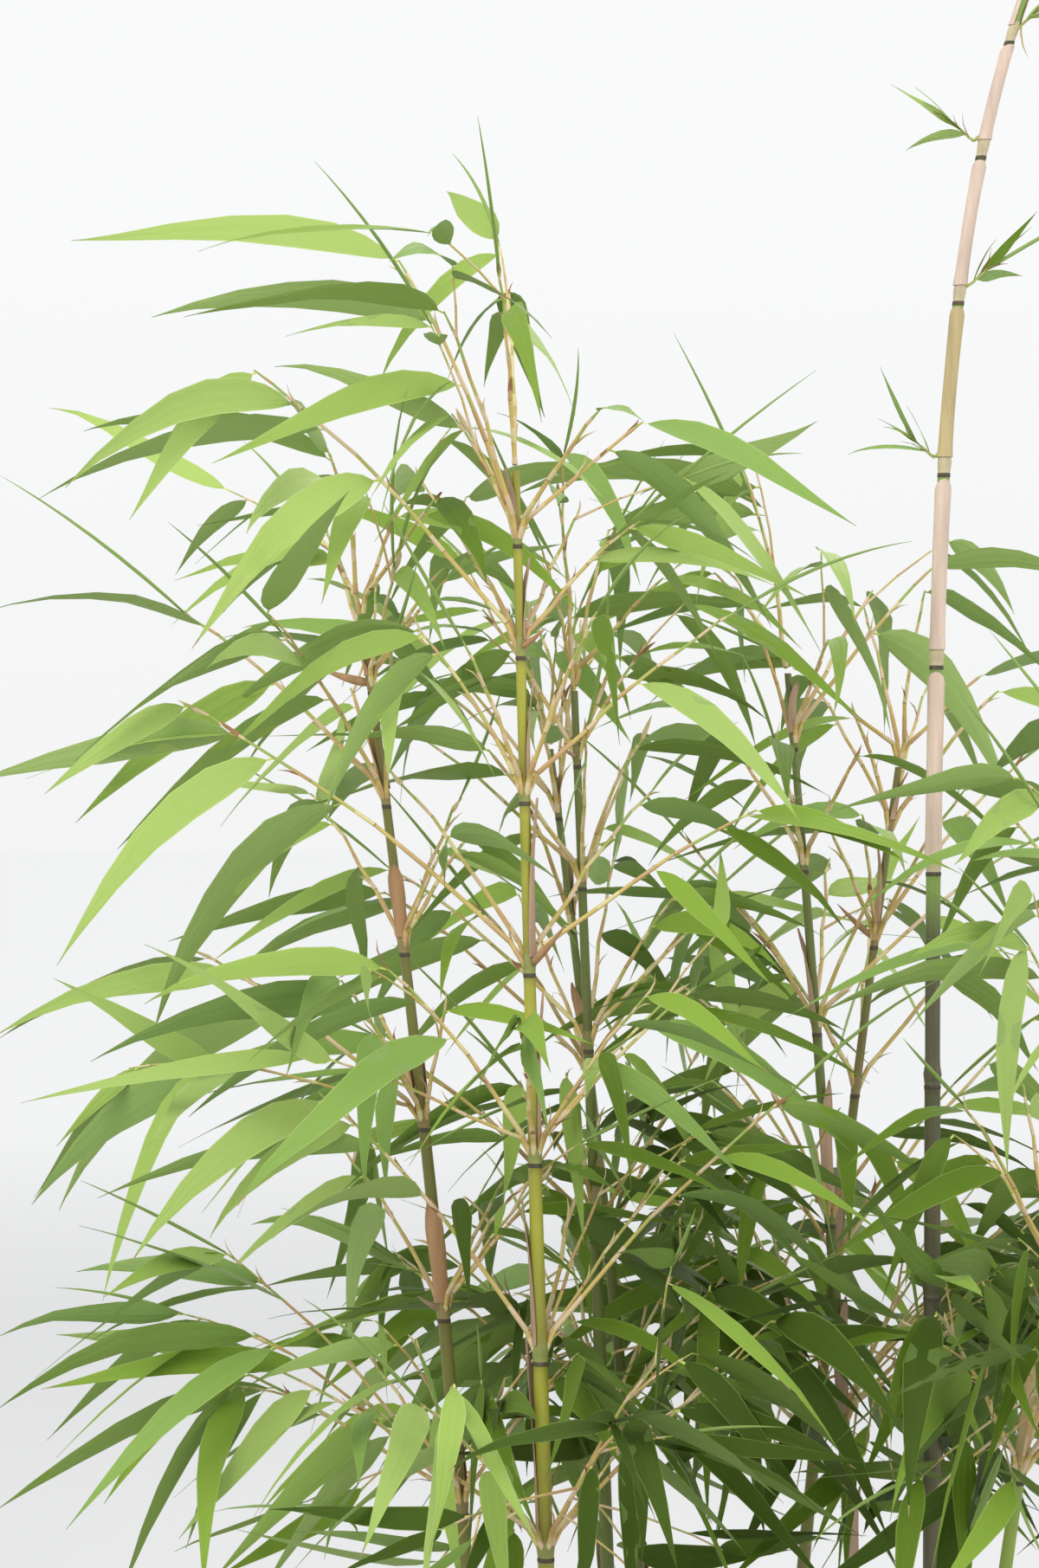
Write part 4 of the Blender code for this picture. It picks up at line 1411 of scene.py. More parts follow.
# %% The points of one leaf
SAG, FOLD = (-0.08, 0.42, 0.08), (0.0, 0.30, 0.06)
TWIST, SHORT_TWIST, SHORT_TWISTS = 0.30, 0.07, (0.8, 1.6)
FIRST_HANDLE, LAST_HANDLE = 0.30, (0.30, 0.42)
BOW, SWAY, SWAYS = 0.020, 0.005, 1.5
KINK_DEPTH, KINK_PLACES, KINK_ACROSS = 0.016, (0.37, 0.53, 0.70), (-0.8, 0.8)
CURL, WAVE, WAVES, WAVE_OFFSET = 0.08, 0.06, (1.0, 2.4), 0.3
THICK_SHARE, THICK = 0.09, (0.00015, 0.0006)


def unit(rows):
    return rows / np.linalg.norm(rows, axis=-1, keepdims=True)


def leaf_points(rng, leaf):
    base, waist, tip = (np.array(p) for p in (leaf.base, leaf.waist, leaf.tip))
    length = np.linalg.norm(tip - base)
    root, outer = unit(waist - base), unit(tip - waist)
    sag = unit(outer - np.array((0, 0, rng.triangular(*SAG))))
    a = base + root * length * FIRST_HANDLE
    b = tip - sag * length * rng.uniform(*LAST_HANDLE)
    t = STATIONS[:, None]
    middle = (1 - t) ** 3 * base + 3 * (1 - t) ** 2 * t * a + 3 * (1 - t) * t**2 * b + t**3 * tip
    ahead = unit((1 - t) ** 2 * (a - base) + 2 * (1 - t) * t * (b - a) + t**2 * (tip - b))
    across = np.array(leaf.across)
    across = unit(across - ahead * (ahead @ across)[:, None])
    up = np.cross(across, ahead)
    turn = rng.gauss(0, TWIST) * t
    turn = turn + rng.gauss(0, SHORT_TWIST) * np.sin(math.tau * t * rng.uniform(*SHORT_TWISTS))
    across, up = across * np.cos(turn) + up * np.sin(turn), up * np.cos(turn) - across * np.sin(turn)
    bow, sway = rng.gauss(0, BOW), rng.gauss(0, SWAY)
    swing = bow * 4 * t * (1 - t) + sway * np.sin(math.tau * SWAYS * t) * t
    middle = middle + across * length * swing
    kink = rng.gauss(0, KINK_DEPTH) * np.interp(t, (0, rng.choice(KINK_PLACES), 1), (0, 1, 0))
    middle = middle + length * kink * (up + across * rng.uniform(*KINK_ACROSS))
    half = np.maximum(half_width(STATIONS) * leaf.width / 2, TIP_HALF)
    half[:STALK_END + 1] = STALK_HALF
    fold, curl = rng.triangular(*FOLD), rng.uniform(0.0, CURL)
    v = np.abs(STRIPS)
    cycles = rng.uniform(*WAVES)
    wave = WAVE * rng.random() * np.sin(math.tau * (cycles * t + rng.random() + WAVE_OFFSET * STRIPS))
    lift = (fold * v - curl * v**2 + wave * v**2)[..., None]
    widths = half[:, None, None]
    top = middle[:, None] + across[:, None] * widths * STRIPS[:, None] + up[:, None] * widths * lift
    below = middle - up * np.clip(half * THICK_SHARE, *THICK)[:, None]
    return np.concatenate([top, below[:, None]], axis=1).reshape(-1, 3)


# %% [markdown]
# Greens differ from spray to spray and only a little within one, because a spray's leaves are
# of one age. Sprays further out, higher up and on the left get lighter greens, which are painted
# light, and the lightest stand in for leaves lit through from behind. Sprays deep inside and low
# on the right get darker greens, which are painted shade. The random spread on top of that is the
# leaves' own tone. The fine parallel veins are relief and gloss alone: noise on each leaf's own
# UV map, which is drawn out along the leaf.

# %% The group that gives a leaf's veins
VEIN_DEPTH, VEIN_STRETCH = 0.0003, 0.07
FINE_VEINS, FINE_SHARE = 34.0, 0.45
DULL = (0.48, 0.74)

veins, start, end = new_group("veins", {"Fine": FINE_VEINS}, {"Height": FLOAT, "Roughness": FLOAT})
place = add_node(veins, "UVMap", uv_map="veins")
finer = add_node(veins, "VectorMath", operation="SCALE")
wide, fine = (
    add_node(veins, "TexNoise", {"Scale": scale, "Detail": detail}, noise_dimensions="2D")
    for scale, detail in ((5.0, 0.0), (1.0, 2.0))
)
both = add_node(veins, "Math", {1: FINE_SHARE}, operation="MULTIPLY_ADD")
dull = add_node(veins, "MapRange", {"To Min": DULL[0], "To Max": DULL[1]})
wire(
    veins,
    (place, "UV", finer, 0), (start, "Fine", finer, "Scale"),
    (place, "UV", wide, "Vector"), (finer, "Vector", fine, "Vector"),
    (fine, "Fac", both, 0), (wide, "Fac", both, 2), (both, "Value", end, "Height"),
    (wide, "Fac", dull, "Value"), (dull, "Result", end, "Roughness"),
)
print("veins:", len(veins.nodes), "nodes")

# %% Finishes of the leaves
# The darker greens are partly painted shade, for sprays deep in the crown, and the lightest partly
# painted light, for leaves lit through from behind.
SHADES = (
    ("deep", (64, 87, 15)),
    ("dark", (93, 121, 28)),
    ("mid", (130, 161, 57)),
    ("bluish", (131, 163, 79)),
    ("fresh", (149, 177, 84)),
    ("light", (159, 185, 98)),
    ("lime", (170, 196, 104)),
)
MARGIN_PALE, MARGIN_SHARE = (205, 215, 150), 0.30
BLOOM, BLOOM_SHARE = (136, 161, 100), 0.5
LEAF_GLOSS, ROLLED_GLOSS = 0.22, 0.2

stalk_green = plain_material("stalk_green", (196, 206, 104), 0.5)
dry_tip = plain_material("dry_tip", (154, 132, 88), 0.7)


def mixed(colour, other, share):
    return [c * (1 - share) + o * share for c, o in zip(colour, other)]


def leaf_material(name, colour):
    """A plain green with the veins' relief and gloss."""
    material = plain_material(name, colour, 0.6)
    tree = material.node_tree
    surface = tree.nodes["Principled BSDF"]
    surface.inputs["Specular IOR Level"].default_value = LEAF_GLOSS
    add_relief(tree, surface, add_node(tree, "Group", node_tree=veins), VEIN_DEPTH)
    return material


def shade_materials(label, colour):
    """The finishes of a leaf's strips: margin, blade, underside, stalk and dry tip."""
    parts = {
        "margin": mixed(colour, MARGIN_PALE, MARGIN_SHARE),
        "blade": colour,
        "under": mixed(colour, BLOOM, BLOOM_SHARE),
    }
    finishes = [leaf_material(f"leaf_{label}_{part}", c) for part, c in parts.items()]
    return finishes + [stalk_green, dry_tip]


# %% A shade for each spray
TUFT_ZONE, TUFT_SHADES = 0.16, (4, 5, 5)
SHADE_ORDER = (0, 1, 1, 2, 3, 2, 4, 4, 5, 5)
SHADE_SHIFTS = (-1, 0, 0, 0, 0, 1)
PAINTED_SHADE_RIGHT_OF, PAINTED_SHADE_BELOW, PAINTED_SHADE_FADE, PAINTED_SHADE_LESS = -0.16, 0.84, 0.12, 0.45
LEFT_OF, LEFT_FADE, PAINTED_LIGHT_LEFT = -0.10, 0.08, 0.09
FRESH, PAINTED_LIGHT_OUTWARD, FRESH_SPREAD = 0.33, 0.40, 0.12
PAINTED_LIGHT_UPWARD, PAINTED_LIGHT_LEVEL = 0.38, 0.75


def pick_shade(rng, point):
    """A shade for a spray by where it stands in the crown: lighter further out, higher up and on the
    left, as painted light, and darker deep inside and low on the right, as painted shade.
    """
    x, y, z = point
    if z > cad_high.z - TUFT_ZONE:
        return rng.choice(TUFT_SHADES)
    # Painted shade darkens the sprays low on the right, and painted light lifts those further out,
    # higher up and on the left; the random spread is the leaves' own tone.
    painted_shade = clamp((x - PAINTED_SHADE_RIGHT_OF) / PAINTED_SHADE_FADE) * clamp((PAINTED_SHADE_BELOW - z) / PAINTED_SHADE_FADE)
    left = clamp((LEFT_OF - x) / LEFT_FADE)
    fresh = FRESH + PAINTED_LIGHT_OUTWARD * crown_reach(x, y) + PAINTED_LIGHT_UPWARD * (z - PAINTED_LIGHT_LEVEL)
    fresh = fresh - PAINTED_SHADE_LESS * painted_shade + PAINTED_LIGHT_LEFT * left
    fresh += rng.gauss(0, FRESH_SPREAD)
    return SHADE_ORDER[clamp(int(fresh * len(SHADE_ORDER)), 0, len(SHADE_ORDER) - 1)]


# %% All leaves, one joined piece for each shade
DRY_TIP_CHANCE = 0.35
corner_strips = np.append((STRIPS + 1) / 2, 0.5)
LEAF_UV = np.stack([
    corner_strips[LEAF_QUADS % len(corner_strips)],
    STATIONS[LEAF_QUADS // len(corner_strips)] * VEIN_STRETCH,
], axis=-1).reshape(-1, 2)

shade_of, crown_pieces = {}, []
shaded, shaded_uv = [[] for shade in SHADES], [[] for shade in SHADES]
for n, (twig, leaf, share) in enumerate(leaves):
    spray = f"{twig.mass}/{str(twig.number).split('/')[0]}"
    if spray not in shade_of:
        shade_of[spray] = pick_shade(random.Random(f"shade {spray}"), twig.points[-1])
    rng = random.Random(f"blade {n}")
    shade = clamp(shade_of[spray] + rng.choice(SHADE_SHIFTS), 0, len(SHADES) - 1)
    shaded_uv[shade].append(LEAF_UV + (rng.uniform(0, 9), rng.uniform(0, 9)))
    points, kinds = leaf_points(rng, leaf), LEAF_STRIPS.copy()
    if rng.random() > DRY_TIP_CHANCE:
        kinds[kinds == DRY] = BLADE
    shaded[shade].append((points, LEAF_QUADS, kinds))
for (label, colour), parts, uvs in zip(SHADES, shaded, shaded_uv):
    finishes = shade_materials(label, colour)
    crown_pieces.append(joined_mesh(f"leaves_{label}", parts, finishes, sharp=70, uvs=uvs))

# %% [markdown]
# ## Twigs as tubes
# A twig is a chain of thin tubes. Papery sheaths of pinkish beige, straw or orange-brown wrap
# the lower part of each stretch, which is a little thicker there and often starts with a darker
# ring. The rest is bare and turns from tan to yellow-green towards the tip. Each stretch gets
# its own rings and its own plain colour.


# %% A tube through rings, with closed ends
def tube(path, radii):
    """Points and quads of a closed tube. The quads come ring by ring, then two for each end."""
    path = np.array([p[:] for p in path])
    ahead = unit(np.gradient(path, axis=0))
    side = np.cross(ahead[0], (0.3, 0.2, 1.0))
    turns = np.arange(RING_SIDES)[:, None] * math.tau / RING_SIDES
    rings = []
    for point, way, radius in zip(path, ahead, radii):
        side = unit(side - way * (side @ way))
        other = np.cross(way, side)
        rings.append(point + radius * (np.cos(turns) * side + np.sin(turns) * other))
    last = (len(path) - 1) * RING_SIDES
    ends = [(3, 2, 1, 0), (5, 4, 3, 0)]
    ends += [tuple(last + k for k in end) for end in ((0, 1, 2, 3), (0, 3, 4, 5))]
    return np.concatenate(rings), np.array(ring_quads(len(path)) + ends)


# %% Finishes of twigs
TWIG_FINISHES = {
    "twig_ring": (148, 122, 80),
    "twig_tan": (202, 177, 106),
    "twig_olive": (184, 178, 94),
    "twig_green": (160, 176, 90),
    "sheath_pink": (216, 191, 153),
    "sheath_straw": (216, 202, 145),
    "sheath_rust": (196, 162, 110),
}
twig_materials = [plain_material(n, c, 0.6) for n, c in TWIG_FINISHES.items()]
TWIG_NAMES = list(TWIG_FINISHES)
TWIG_SHEATHS = ("sheath_pink", "sheath_straw", "sheath_rust", "sheath_pink")
TWIG_SLIM, RING_CHANCE = 0.88, 0.45
TAN_TO, OLIVE_TO = 0.3, 0.65
SHORTEST_STRETCH, RING_STEP, SHEATH_EDGE = 0.003, 0.0006, 0.0004
RING_SWELL, SHEATH_SWELL, SHEATH_END_SWELL, BARE_SWELL = 1.04, 1.12, 1.04, 0.95
COVERED, LAST_STEP, TWIG_END = (0.3, 0.75), 0.8, 0.6


def bare_finish(rng, share):
    """The finish of a bare stretch: tan, then tan or olive, then green."""
    if share < TAN_TO:
        return "twig_tan"
    return rng.choice(("twig_tan", "twig_olive")) if share < OLIVE_TO else "twig_green"


def twig_mesh(rng, twig):
    """A twig's tube with its rings, sheaths and bare stretches, and the finish of each quad."""
    path, radii, kinds = [], [], []
    for k, (a, b) in enumerate(zip(twig.points, twig.points[1:])):
        way, length = (b - a).normalized(), (b - a).length
        share = twig.shares[k]
        radius = TWIG_SLIM * (twig.radii[0] + (twig.radii[1] - twig.radii[0]) * share)
        sheath = rng.choice(TWIG_SHEATHS)
        bare = bare_finish(rng, share)
        if twig.mass.startswith("tuft"):
            sheath = bare = "twig_green"
        covered = length * rng.uniform(*COVERED)
        ring = "twig_ring" if rng.random() < RING_CHANCE else sheath
        if length < SHORTEST_STRETCH:
            continue
        for step, swell, kind in (
            (0.0, RING_SWELL, ring), (RING_STEP, SHEATH_SWELL, sheath),
            (covered, SHEATH_END_SWELL, bare), (covered + SHEATH_EDGE, BARE_SWELL, bare),
        ):
            path.append(a + way * min(step, length * LAST_STEP))
            radii.append(radius * swell)
            kinds += [TWIG_NAMES.index(kind)] * RING_SIDES
    path.append(twig.points[-1])
    radii.append(twig.radii[1] * TWIG_END)
    return *tube(path, radii), np.array(kinds + [TWIG_NAMES.index("twig_green")] * 4)


# %% All twigs, in two joined pieces
for label, group in (("branches", twigs), ("side_twigs", side_twigs)):
    parts = [twig_mesh(draws("tube", twig), twig) for twig in group]
    crown_pieces.append(joined_mesh(label, parts, twig_materials, sharp=75))

# %% [markdown]
# Rolled young leaves stand straight on from many twig tips, thin as a needle. They are tubes
# too. The dry slivers at the joints are narrow pointed blades of old sheath.

# %% Rolled leaves
ROLL_RADIUS = 0.0010
ROLL_STATIONS = (0, 0.1, 0.22, 0.36, 0.5, 0.64, 0.78, 0.9, 1)
ROLL_SHARES = (0.5, 0.85, 1.0, 1.0, 0.9, 0.72, 0.5, 0.28, 0.08)
ROLL_LIFT, ROLL_SWAY = (0.02, 0.12), (-0.08, 0.08)

rolled_green = plain_material("rolled_leaf", (134, 160, 84), 0.6)
rolled_surface = rolled_green.node_tree.nodes["Principled BSDF"]
rolled_surface.inputs["Specular IOR Level"].default_value = ROLLED_GLOSS
parts = []
for twig, spear, share in spears:
    rng = draws("roll", twig)
    first, last = spear.base, spear.tip
    off = UP * rng.uniform(*ROLL_LIFT) + spear.across * rng.uniform(*ROLL_SWAY)
    bow = first.lerp(last, 0.5) + off * (last - first).length
    path = [first.lerp(bow, s).lerp(bow.lerp(last, s), s) for s in ROLL_STATIONS]
    parts.append((*tube(path, [k * ROLL_RADIUS for k in ROLL_SHARES]), 0))
crown_pieces.append(joined_mesh("rolled_leaves", parts, [rolled_green]))

# %% Dry slivers
SLIVER_QUADS = np.array([
    (0, 1, 4, 3), (1, 2, 5, 4), (3, 4, 7, 6), (4, 5, 8, 7), (6, 7, 10, 9), (7, 8, 11, 10),
    (2, 1, 0, 12), (5, 2, 12, 13), (12, 0, 3, 13), (8, 5, 13, 14), (13, 3, 6, 14),
    (11, 8, 14, 15), (14, 6, 9, 15), (9, 10, 11, 15),
])
SLIVER_ROWS = ((0, 0.5), (0.3, 1.0), (0.65, 0.7), (1.0, 0.06))
SLIVER_THICK, SLIVER_RIDGE = 0.00015, 0.5
SLIVER_OFF, SLIVER_SLOWS = 0.28, 0.25
SLIVER_CHANCE, SLIVER_ABOVE, SLIVER_RISE = 0.42, 0.001, (-60, 60)
SLIVER_LENGTH, SLIVER_WIDTH = (0.010, 0.026), (0.0016, 0.0030)


def sliver(point, way, out, length, width):
    """The points of a dry pointed blade that starts along a twig and stands off from it."""
    across = way.cross(out).normalized()
    rows, under = [], []
    for s, w in SLIVER_ROWS:
        middle = point + way * length * (s - SLIVER_SLOWS * s * s)
        middle += out * length * SLIVER_OFF * s * s
        half = width * w / 2
        ridge = middle + out * half * SLIVER_RIDGE
        rows += [middle - across * half, ridge, middle + across * half]
        under.append(middle - out * SLIVER_THICK)
    return np.array([p[:] for p in rows + under])


parts = []
for twig in twigs:
    rng = draws("sliver", twig)
    for share in twig.shares[1:-1]:
        if rng.random() > SLIVER_CHANCE:
            continue
        point, way = twig_at(twig, share + SLIVER_ABOVE)
        out = way.cross(heading(rng.uniform(0, 360), rng.uniform(*SLIVER_RISE))).normalized()
        points = sliver(point, way, out, rng.uniform(*SLIVER_LENGTH), rng.uniform(*SLIVER_WIDTH))
        parts.append((points, SLIVER_QUADS, rng.choice((0, 0, 1))))
dry_finishes = [
    plain_material("sliver_straw", (206, 188, 142), 0.7),
    plain_material("sliver_brown", (158, 116, 78), 0.7),
]
crown_pieces.append(joined_mesh("dry_slivers", parts, dry_finishes, sharp=60))

# %% Everything in the crown stands for all the masses of leaves
for piece in crown_pieces:
    finish_piece(piece, "foliage", *masses)
print("crown:", len(crown_pieces), "pieces")

# %% [markdown]
# ## Canes
# A cane is grown ring by ring. Just below each joint it is dark for two millimetres, where an
# old sheath has left its scar. The joint itself is a thin ledge, and a pale collar above it
# swells out to carry the branches. Between the joints a cane is a plain smooth tube with streaks
# of olive and fine grain along its length, and another tint towards the upper end of each
# stretch, which an attribute on its points carries.

# %% Looks of the canes: the finish, then a sheath's colour, length, chance and half turn
LOOKS = {
    "culm_front": ("front", "pink", 0.9, 0.85, 72),
    "culm_left": ("brown", "rust", 0.5, 0.9, 120),
    "culm_centre": ("green", "straw", 0.5, 0.5, 80),
    "culm_back": ("green", "pink", 0.6, 0.7, 110),
    "culm_back_right": ("brown", "pink", 0.7, 0.8, 110),
    "culm_right": ("fresh", "straw", 0.6, 0.6, 90),
    "culm_back_left": ("green", "rust", 0.5, 0.5, 100),
    "culm_shoot": ("shoot", "pale", 0.86, 1.0, 140),
}
CANE_DARKER = 0.86


def add_stretch_tint(material, colour):
    """Mixes a tint into a cane's colour by the attribute that says where in a stretch it is."""
    tree = material.node_tree
    base = tree.nodes["Principled BSDF"].inputs["Base Color"]
    share = add_node(tree, "Attribute", attribute_name="stretch")
    tint = add_node(tree, "Mix", {MIX_B: srgb(*colour)}, data_type="RGBA")
    wire(tree, (share, "Fac", tint, "Factor"))
    tree.links.new(base.links[0].from_socket, tint.inputs[MIX_A])
    tree.links.new(tint.outputs[MIX_OUT], base)
    return material


def two_tone(colour, darker):
    return colour, [c * darker for c in colour]


cane_scar = made_material(
    "cane_scar", ((58, 54, 46), (92, 82, 60)), scale=400, stretch=0.5, share=0.5,
    roughness=(0.6, 0.8), depth=0.0004, fineness=1200,
)
cane_finishes = {}
for label, light, dark, upper, collar in (
    ("front", (144, 138, 58), (110, 104, 48), (172, 172, 56), (146, 152, 80)),
    ("green", (112, 116, 58), (82, 84, 44), (104, 118, 50), (124, 124, 66)),
    ("brown", (130, 112, 60), (92, 84, 44), (112, 116, 48), (146, 130, 80)),
    ("fresh", (134, 156, 68), (102, 128, 52), (148, 172, 70), (152, 164, 86)),
    ("shoot", (98, 90, 66), (70, 78, 48), (128, 154, 74), (196, 182, 146)),
):
    skin = made_material(
        f"cane_{label}", (light, dark), scale=130, stretch=0.10, share=0.52,
        roughness=(0.32, 0.5), depth=0.0003, fineness=900,
    )
    pale = made_material(
        f"cane_{label}_collar", two_tone(collar, CANE_DARKER), scale=200, stretch=0.3, share=0.5,
        roughness=(0.4, 0.6), depth=0.0003, fineness=900,
    )
    cane_finishes[label] = [add_stretch_tint(skin, upper), cane_scar, pale]
print("finishes of canes:", list(cane_finishes))

# %% The rings of a cane
JOINT_STEPS = (
    (-0.0060, 1.00), (-0.0019, 1.02), (-0.0015, 1.07), (0.0000, 1.08), (0.0004, 1.01),
    (0.0030, 1.08), (0.0058, 1.17), (0.0080, 1.09), (0.0100, 1.00), (0.0160, 0.97),
)
CANE_FOOT = ((GAP, FLARE), (0.006, 1.12), (0.016, 1.0))
CANE_SIDES, CANE_STEP, CANE_SHARP = 20, 0.022, 50
JOINT_ROOM, TIP_ROOM = 0.006, 0.004
SCAR_ZONE, COLLAR_ZONE = (-0.0018, 0.0003), (0.0003, 0.0095)
TINT_PLACES, TINT_SHARES = (0, 0.35, 0.75, 0.92, 1), (0.0, 0.4, 1.0, 0.8, 0.1)
GREEN_SHOOT = 0.88


def cane_levels(culm):
    """Heights and widths of all the rings of a cane, from the soil to its tip."""
    levels = [(SOIL_LEVEL + z, k) for z, k in CANE_FOOT]
    for z in joint_heights(culm)[:-1]:
        start = levels[-1][0]
        gap = z - JOINT_ROOM - start
        count = max(int(gap / CANE_STEP), 1)
        levels += [(start + gap * i / count, 1.0) for i in range(1, count)]
        levels += [(z + step, k) for step, k in JOINT_STEPS if z + step < culm.top - TIP_ROOM]
    start = levels[-1][0]
    count = max(int((culm.top - start) / CANE_STEP), 1)
    levels += [(start + (culm.top - start) * i / count, 1.0) for i in range(1, count + 1)]
    return levels


# %% The eight canes
for culm in CULMS + (SHOOT,):
    rings = [(culm_axis(culm, z), culm_radius(culm, z) * k) for z, k in cane_levels(culm)]
    cane = grow_rings("cane_" + culm.name.removeprefix("culm_"), rings, CANE_SIDES)
    for material in cane_finishes[LOOKS[culm.name][0]]:
        cane.data.materials.append(material)
    heights = np.array(joint_heights(culm)[:-1])
    ends = np.concatenate(([SOIL_LEVEL], heights, [culm.top + 0.001]))
    share = cane.data.attributes.new("stretch", "FLOAT", "POINT")
    for vert in cane.data.vertices:
        z = vert.co.z
        k = clamp(np.searchsorted(ends, z) - 1, 0, len(ends) - 2)
        part = (z - ends[k]) / (ends[k + 1] - ends[k])
        green = np.interp(part, TINT_PLACES, TINT_SHARES)
        share.data[vert.index].value = float(z > GREEN_SHOOT) if culm is SHOOT else green
    for face in cane.data.polygons:
        off = face.center.z - heights
        near = off[np.argmin(np.abs(off))]
        scar, collar = (low < near < high for low, high in (SCAR_ZONE, COLLAR_ZONE))
        if culm is SHOOT and face.center.z < GREEN_SHOOT:
            collar = False
        face.material_index = 1 if scar else 2 if collar else 0
    smooth_by_angle(cane, CANE_SHARP)
    finish_piece(cane, "cane", culm.name)
    print(cane.name, len(cane.data.polygons), "faces")

# %% [markdown]
# Old sheaths still hold on above many joints. Each is a paper-thin shell that wraps about half
# of the cane at its foot and narrows to a point that stands a little off. On the new shoot they
# wrap most of the cane and end bluntly.

# %% The shell of one sheath
SHEATH_STEPS = SHEATH_COLUMNS = 10
SHEATH_ROW = SHEATH_COLUMNS + 1
SHEATH_ROUND = 0.16
SHEATH_THICK = 0.00025
SHEATH_OFF, BLUNT_STAND, POINT_STAND = 0.0004, 0.0004, 0.0028
FOOT_SWELL = 0.13
WRAP_POWERS, LEAST_WRAP = (1.6, 0.8), 0.04
RIPPLE, RIPPLES_ROUND, RIPPLES_UP = 0.00015, 9, 3
EDGE_LIFT, EDGE_FROM = 0.0008, 0.7


def sheath_quads():
    """Faces of the outer and the inner layer and of the edges that join them."""
    size = (SHEATH_STEPS + 1) * SHEATH_ROW
    quads = []
    for i in range(0, SHEATH_STEPS * SHEATH_ROW, SHEATH_ROW):
        up = i + SHEATH_ROW
        for a in range(i, i + SHEATH_COLUMNS):
            b = a + SHEATH_ROW
            quads.append((a, a + 1, b + 1, b))
            quads.append((size + a, size + b, size + b + 1, size + a + 1))
        for a, b in ((i, up), (up + SHEATH_COLUMNS, i + SHEATH_COLUMNS)):
            quads.append((a, b, b + size, a + size))
    top = SHEATH_STEPS * SHEATH_ROW
    for k in range(SHEATH_COLUMNS):
        quads.append((k + 1, k, k + size, k + 1 + size))
        quads.append((top + k, top + k + 1, top + k + 1 + size, top + k + size))
    return np.array(quads)


def sheath_points(culm, foot, length, facing, half_turn):
    """A pointed shell round a cane, from a joint upwards, as an outer and an inner layer."""
    outer, inner = [], []
    blunt = culm is SHOOT
    for i in range(SHEATH_STEPS + 1):
        s = i / SHEATH_STEPS
        narrowing = 1.0 if blunt else (1 - s**WRAP_POWERS[0]) ** WRAP_POWERS[1]
        wrap = math.radians(half_turn) * narrowing + LEAST_WRAP
        off = SHEATH_OFF + (BLUNT_STAND if blunt else POINT_STAND) * s**3
        swell = FOOT_SWELL if s == 0 else 0.0
        for layer, extra in ((outer, off + SHEATH_THICK), (inner, off)):
            for k in range(SHEATH_ROW):
                v = 2 * k / SHEATH_COLUMNS - 1
                z = foot + length * (s - (SHEATH_ROUND * v * v * s**4 if blunt else 0))
                turn = math.radians(facing) + wrap * v
                ripple = RIPPLE * math.sin(RIPPLES_ROUND * turn + RIPPLES_UP * s)
                reach = culm_radius(culm, z) * (1 + swell) + extra + ripple
                if abs(v) > EDGE_FROM and not blunt:
                    reach += EDGE_LIFT * s
                layer.append(culm_axis(culm, z) + Vector((math.cos(turn), math.sin(turn), 0)) * reach)
    return np.array([p[:] for p in outer + inner])


# %% Sheaths on the canes
SHEATH_FOOT = 0.0086
SHEATH_COLOURS = {
    "pink": (192, 160, 134), "straw": (196, 176, 128), "rust": (186, 144, 104),
    "pale": (222, 198, 180),
}
SHEATH_NAMES = list(SHEATH_COLOURS)
SHEATH_TURN, SHEATH_SPAN = (70, 125), (0.8, 1.15)
SHOOT_SHARES, SHOOT_LOOKS = (0.97, 0.97, 0.72), ("pale", "pale", "straw")
SHEATH_DARKER = 0.84


def bud_side(culm, joint):
    """The compass angle of the bud at a joint of a cane."""
    return culm.bud + 180 * ((joint - culm.bare) % 2)


sheath_parts, sheath_faces = [], sheath_quads()
for culm in CULMS + (SHOOT,):
    look, share, chance, half_turn = LOOKS[culm.name][1:]
    heights = joint_heights(culm)
    for j, (z, above) in enumerate(zip(heights, heights[1:])):
        rng = random.Random(f"cane sheath {culm.name} {j}")
        if rng.random() > chance or culm is SHOOT and z < GREEN_SHOOT:
            continue
        facing = bud_side(culm, j) + rng.choice((-1, 1)) * rng.uniform(*SHEATH_TURN)
        length = (above - z) * share * rng.uniform(*SHEATH_SPAN)
        foot = z + SHEATH_FOOT
        if culm is SHOOT:
            length = (above - foot) * rng.choice(SHOOT_SHARES)
            look = rng.choice(SHOOT_LOOKS)
        points = sheath_points(culm, foot, length, facing, half_turn)
        sheath_parts.append((points, sheath_faces, SHEATH_NAMES.index(look)))
sheath_materials = [
    made_material(
        f"cane_sheath_{label}", two_tone(colour, SHEATH_DARKER), scale=160, stretch=0.12,
        share=0.5, roughness=(0.6, 0.8), depth=0.0004, fineness=500,
    )
    for label, colour in SHEATH_COLOURS.items()
]
sheaths = joined_mesh("cane_sheaths", sheath_parts, sheath_materials, sharp=50)
finish_piece(sheaths, "cane")

# %% [markdown]
# Here and there a joint bears a stout pointed bud that has not opened, wrapped in a pinkish or
# rust-brown sheath.

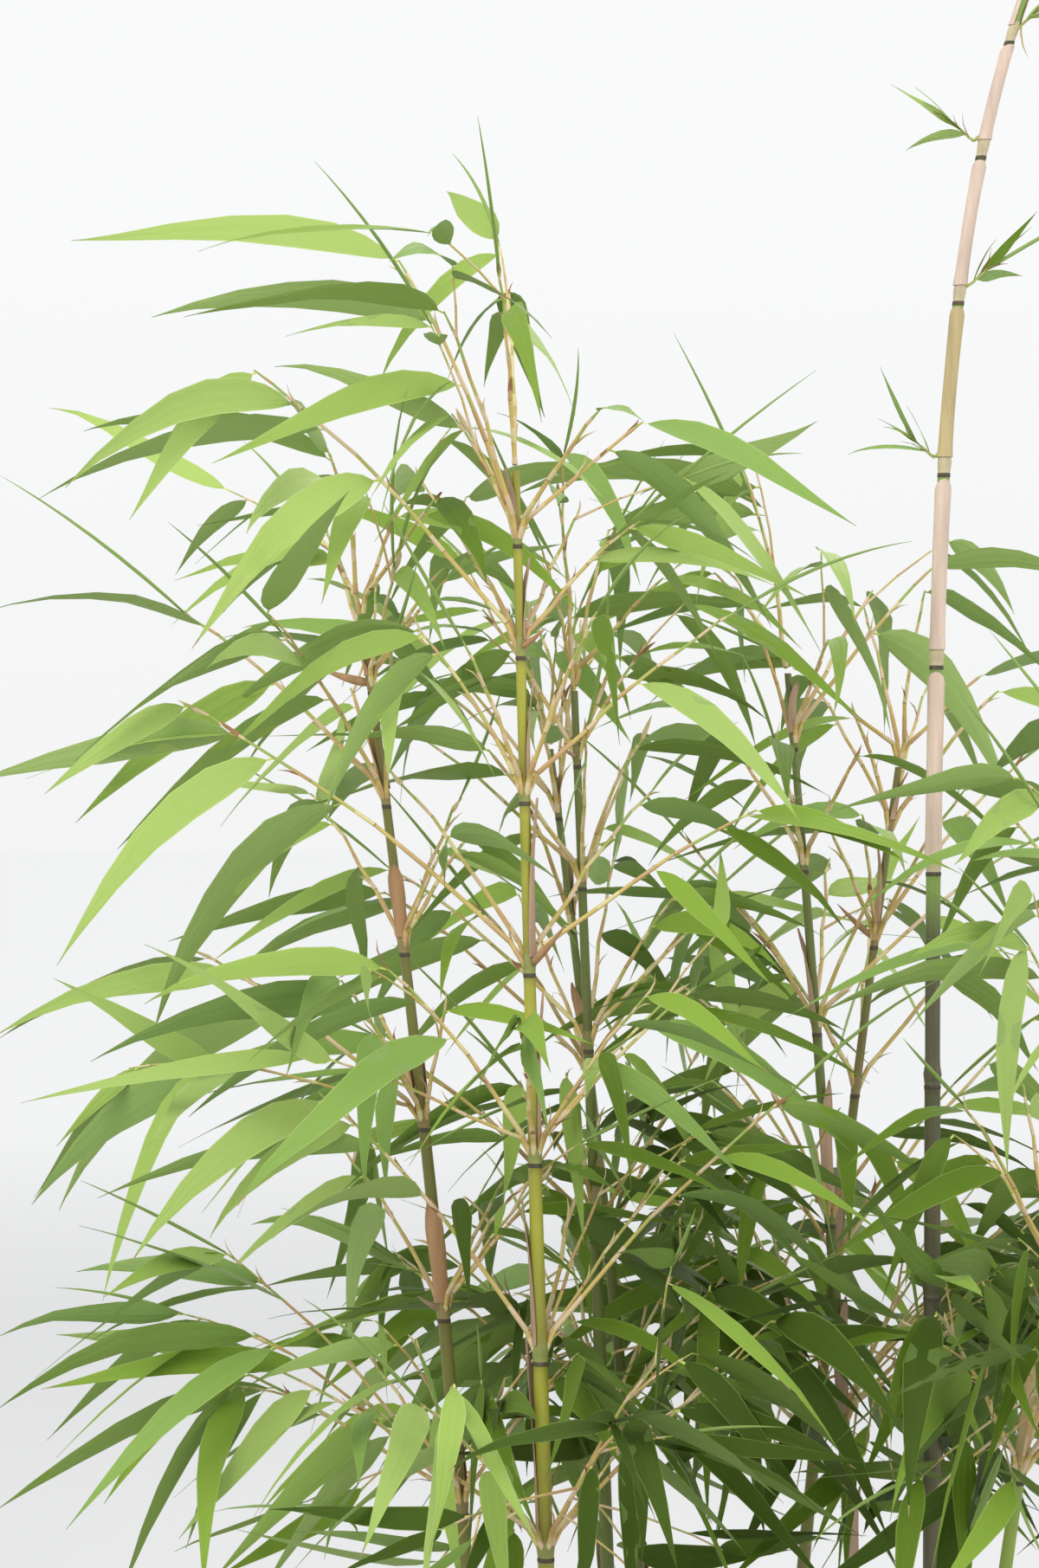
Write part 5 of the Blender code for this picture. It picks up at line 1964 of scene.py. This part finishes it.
# %% Buds at the joints
BUD_CHANCE = 0.3
BUD_ABOVE, BUD_SUNK, BUD_TURN, BUD_RISE = 0.005, 0.6, (-70, 70), (8, 62)
BUD_LENGTH, BUD_THICK, BUD_BEND = (0.012, 0.030), (0.055, 0.075), 0.12
BUD_STATIONS, BUD_SHARES = (0, 0.15, 0.35, 0.6, 0.85, 1), (1.0, 1.25, 1.2, 0.9, 0.45, 0.08)

parts = []
for culm in CULMS:
    for j, z in enumerate(joint_heights(culm)[:-1]):
        rng = random.Random(f"cane bud {culm.name} {j}")
        if rng.random() > BUD_CHANCE:
            continue
        turn = bud_side(culm, j) + 180 + rng.uniform(*BUD_TURN)
        out, length = heading(turn, 0), rng.uniform(*BUD_LENGTH)
        first = culm_axis(culm, z + BUD_ABOVE) + out * culm_radius(culm, z) * BUD_SUNK
        way = heading(turn, rng.uniform(*BUD_RISE))
        path = [first + way * length * s + UP * length * BUD_BEND * s * s for s in BUD_STATIONS]
        thick = length * rng.uniform(*BUD_THICK)
        parts.append((*tube(path, [thick * k for k in BUD_SHARES]), rng.choice((0, 2))))
finish_piece(joined_mesh("cane_buds", parts, sheath_materials), "cane")

# %% [markdown]
# ## Floor and end
# The floor is one large pale disc, which turns paler with distance.

# %% Floor
FLOOR_RADIUS, FLOOR_SIDES = 55, 96
# The floor's tone is painted: darker near the plant, as painted shade over the lamps' light there, and
# paler far off, as painted light, until it meets the world's tone at the horizon.
FLOOR_NEAR, FLOOR_FAR = (0.60, 0.602, 0.605, 1), (0.93, 0.932, 0.935, 1)
PALE_FROM, PALE_TO = 2.0, 9.0

deselect_all()
bpy.ops.mesh.primitive_circle_add(vertices=FLOOR_SIDES, radius=FLOOR_RADIUS, fill_type="NGON")
floor = bpy.context.active_object
floor.name = "floor"
pale_floor, tree, surface = new_material("pale_floor")
surface.inputs["Roughness"].default_value = 0.95
place = add_node(tree, "TexCoord")
distance = add_node(tree, "VectorMath", operation="LENGTH")
paler = fade(tree, distance, "Value", PALE_FROM, PALE_TO, (FLOOR_NEAR, FLOOR_FAR))
wire(tree, (place, "Object", distance, 0), (paler, MIX_OUT, surface, "Base Color"))
floor.data.materials.append(pale_floor)
print("floor:", 2 * FLOOR_RADIUS, "m across")
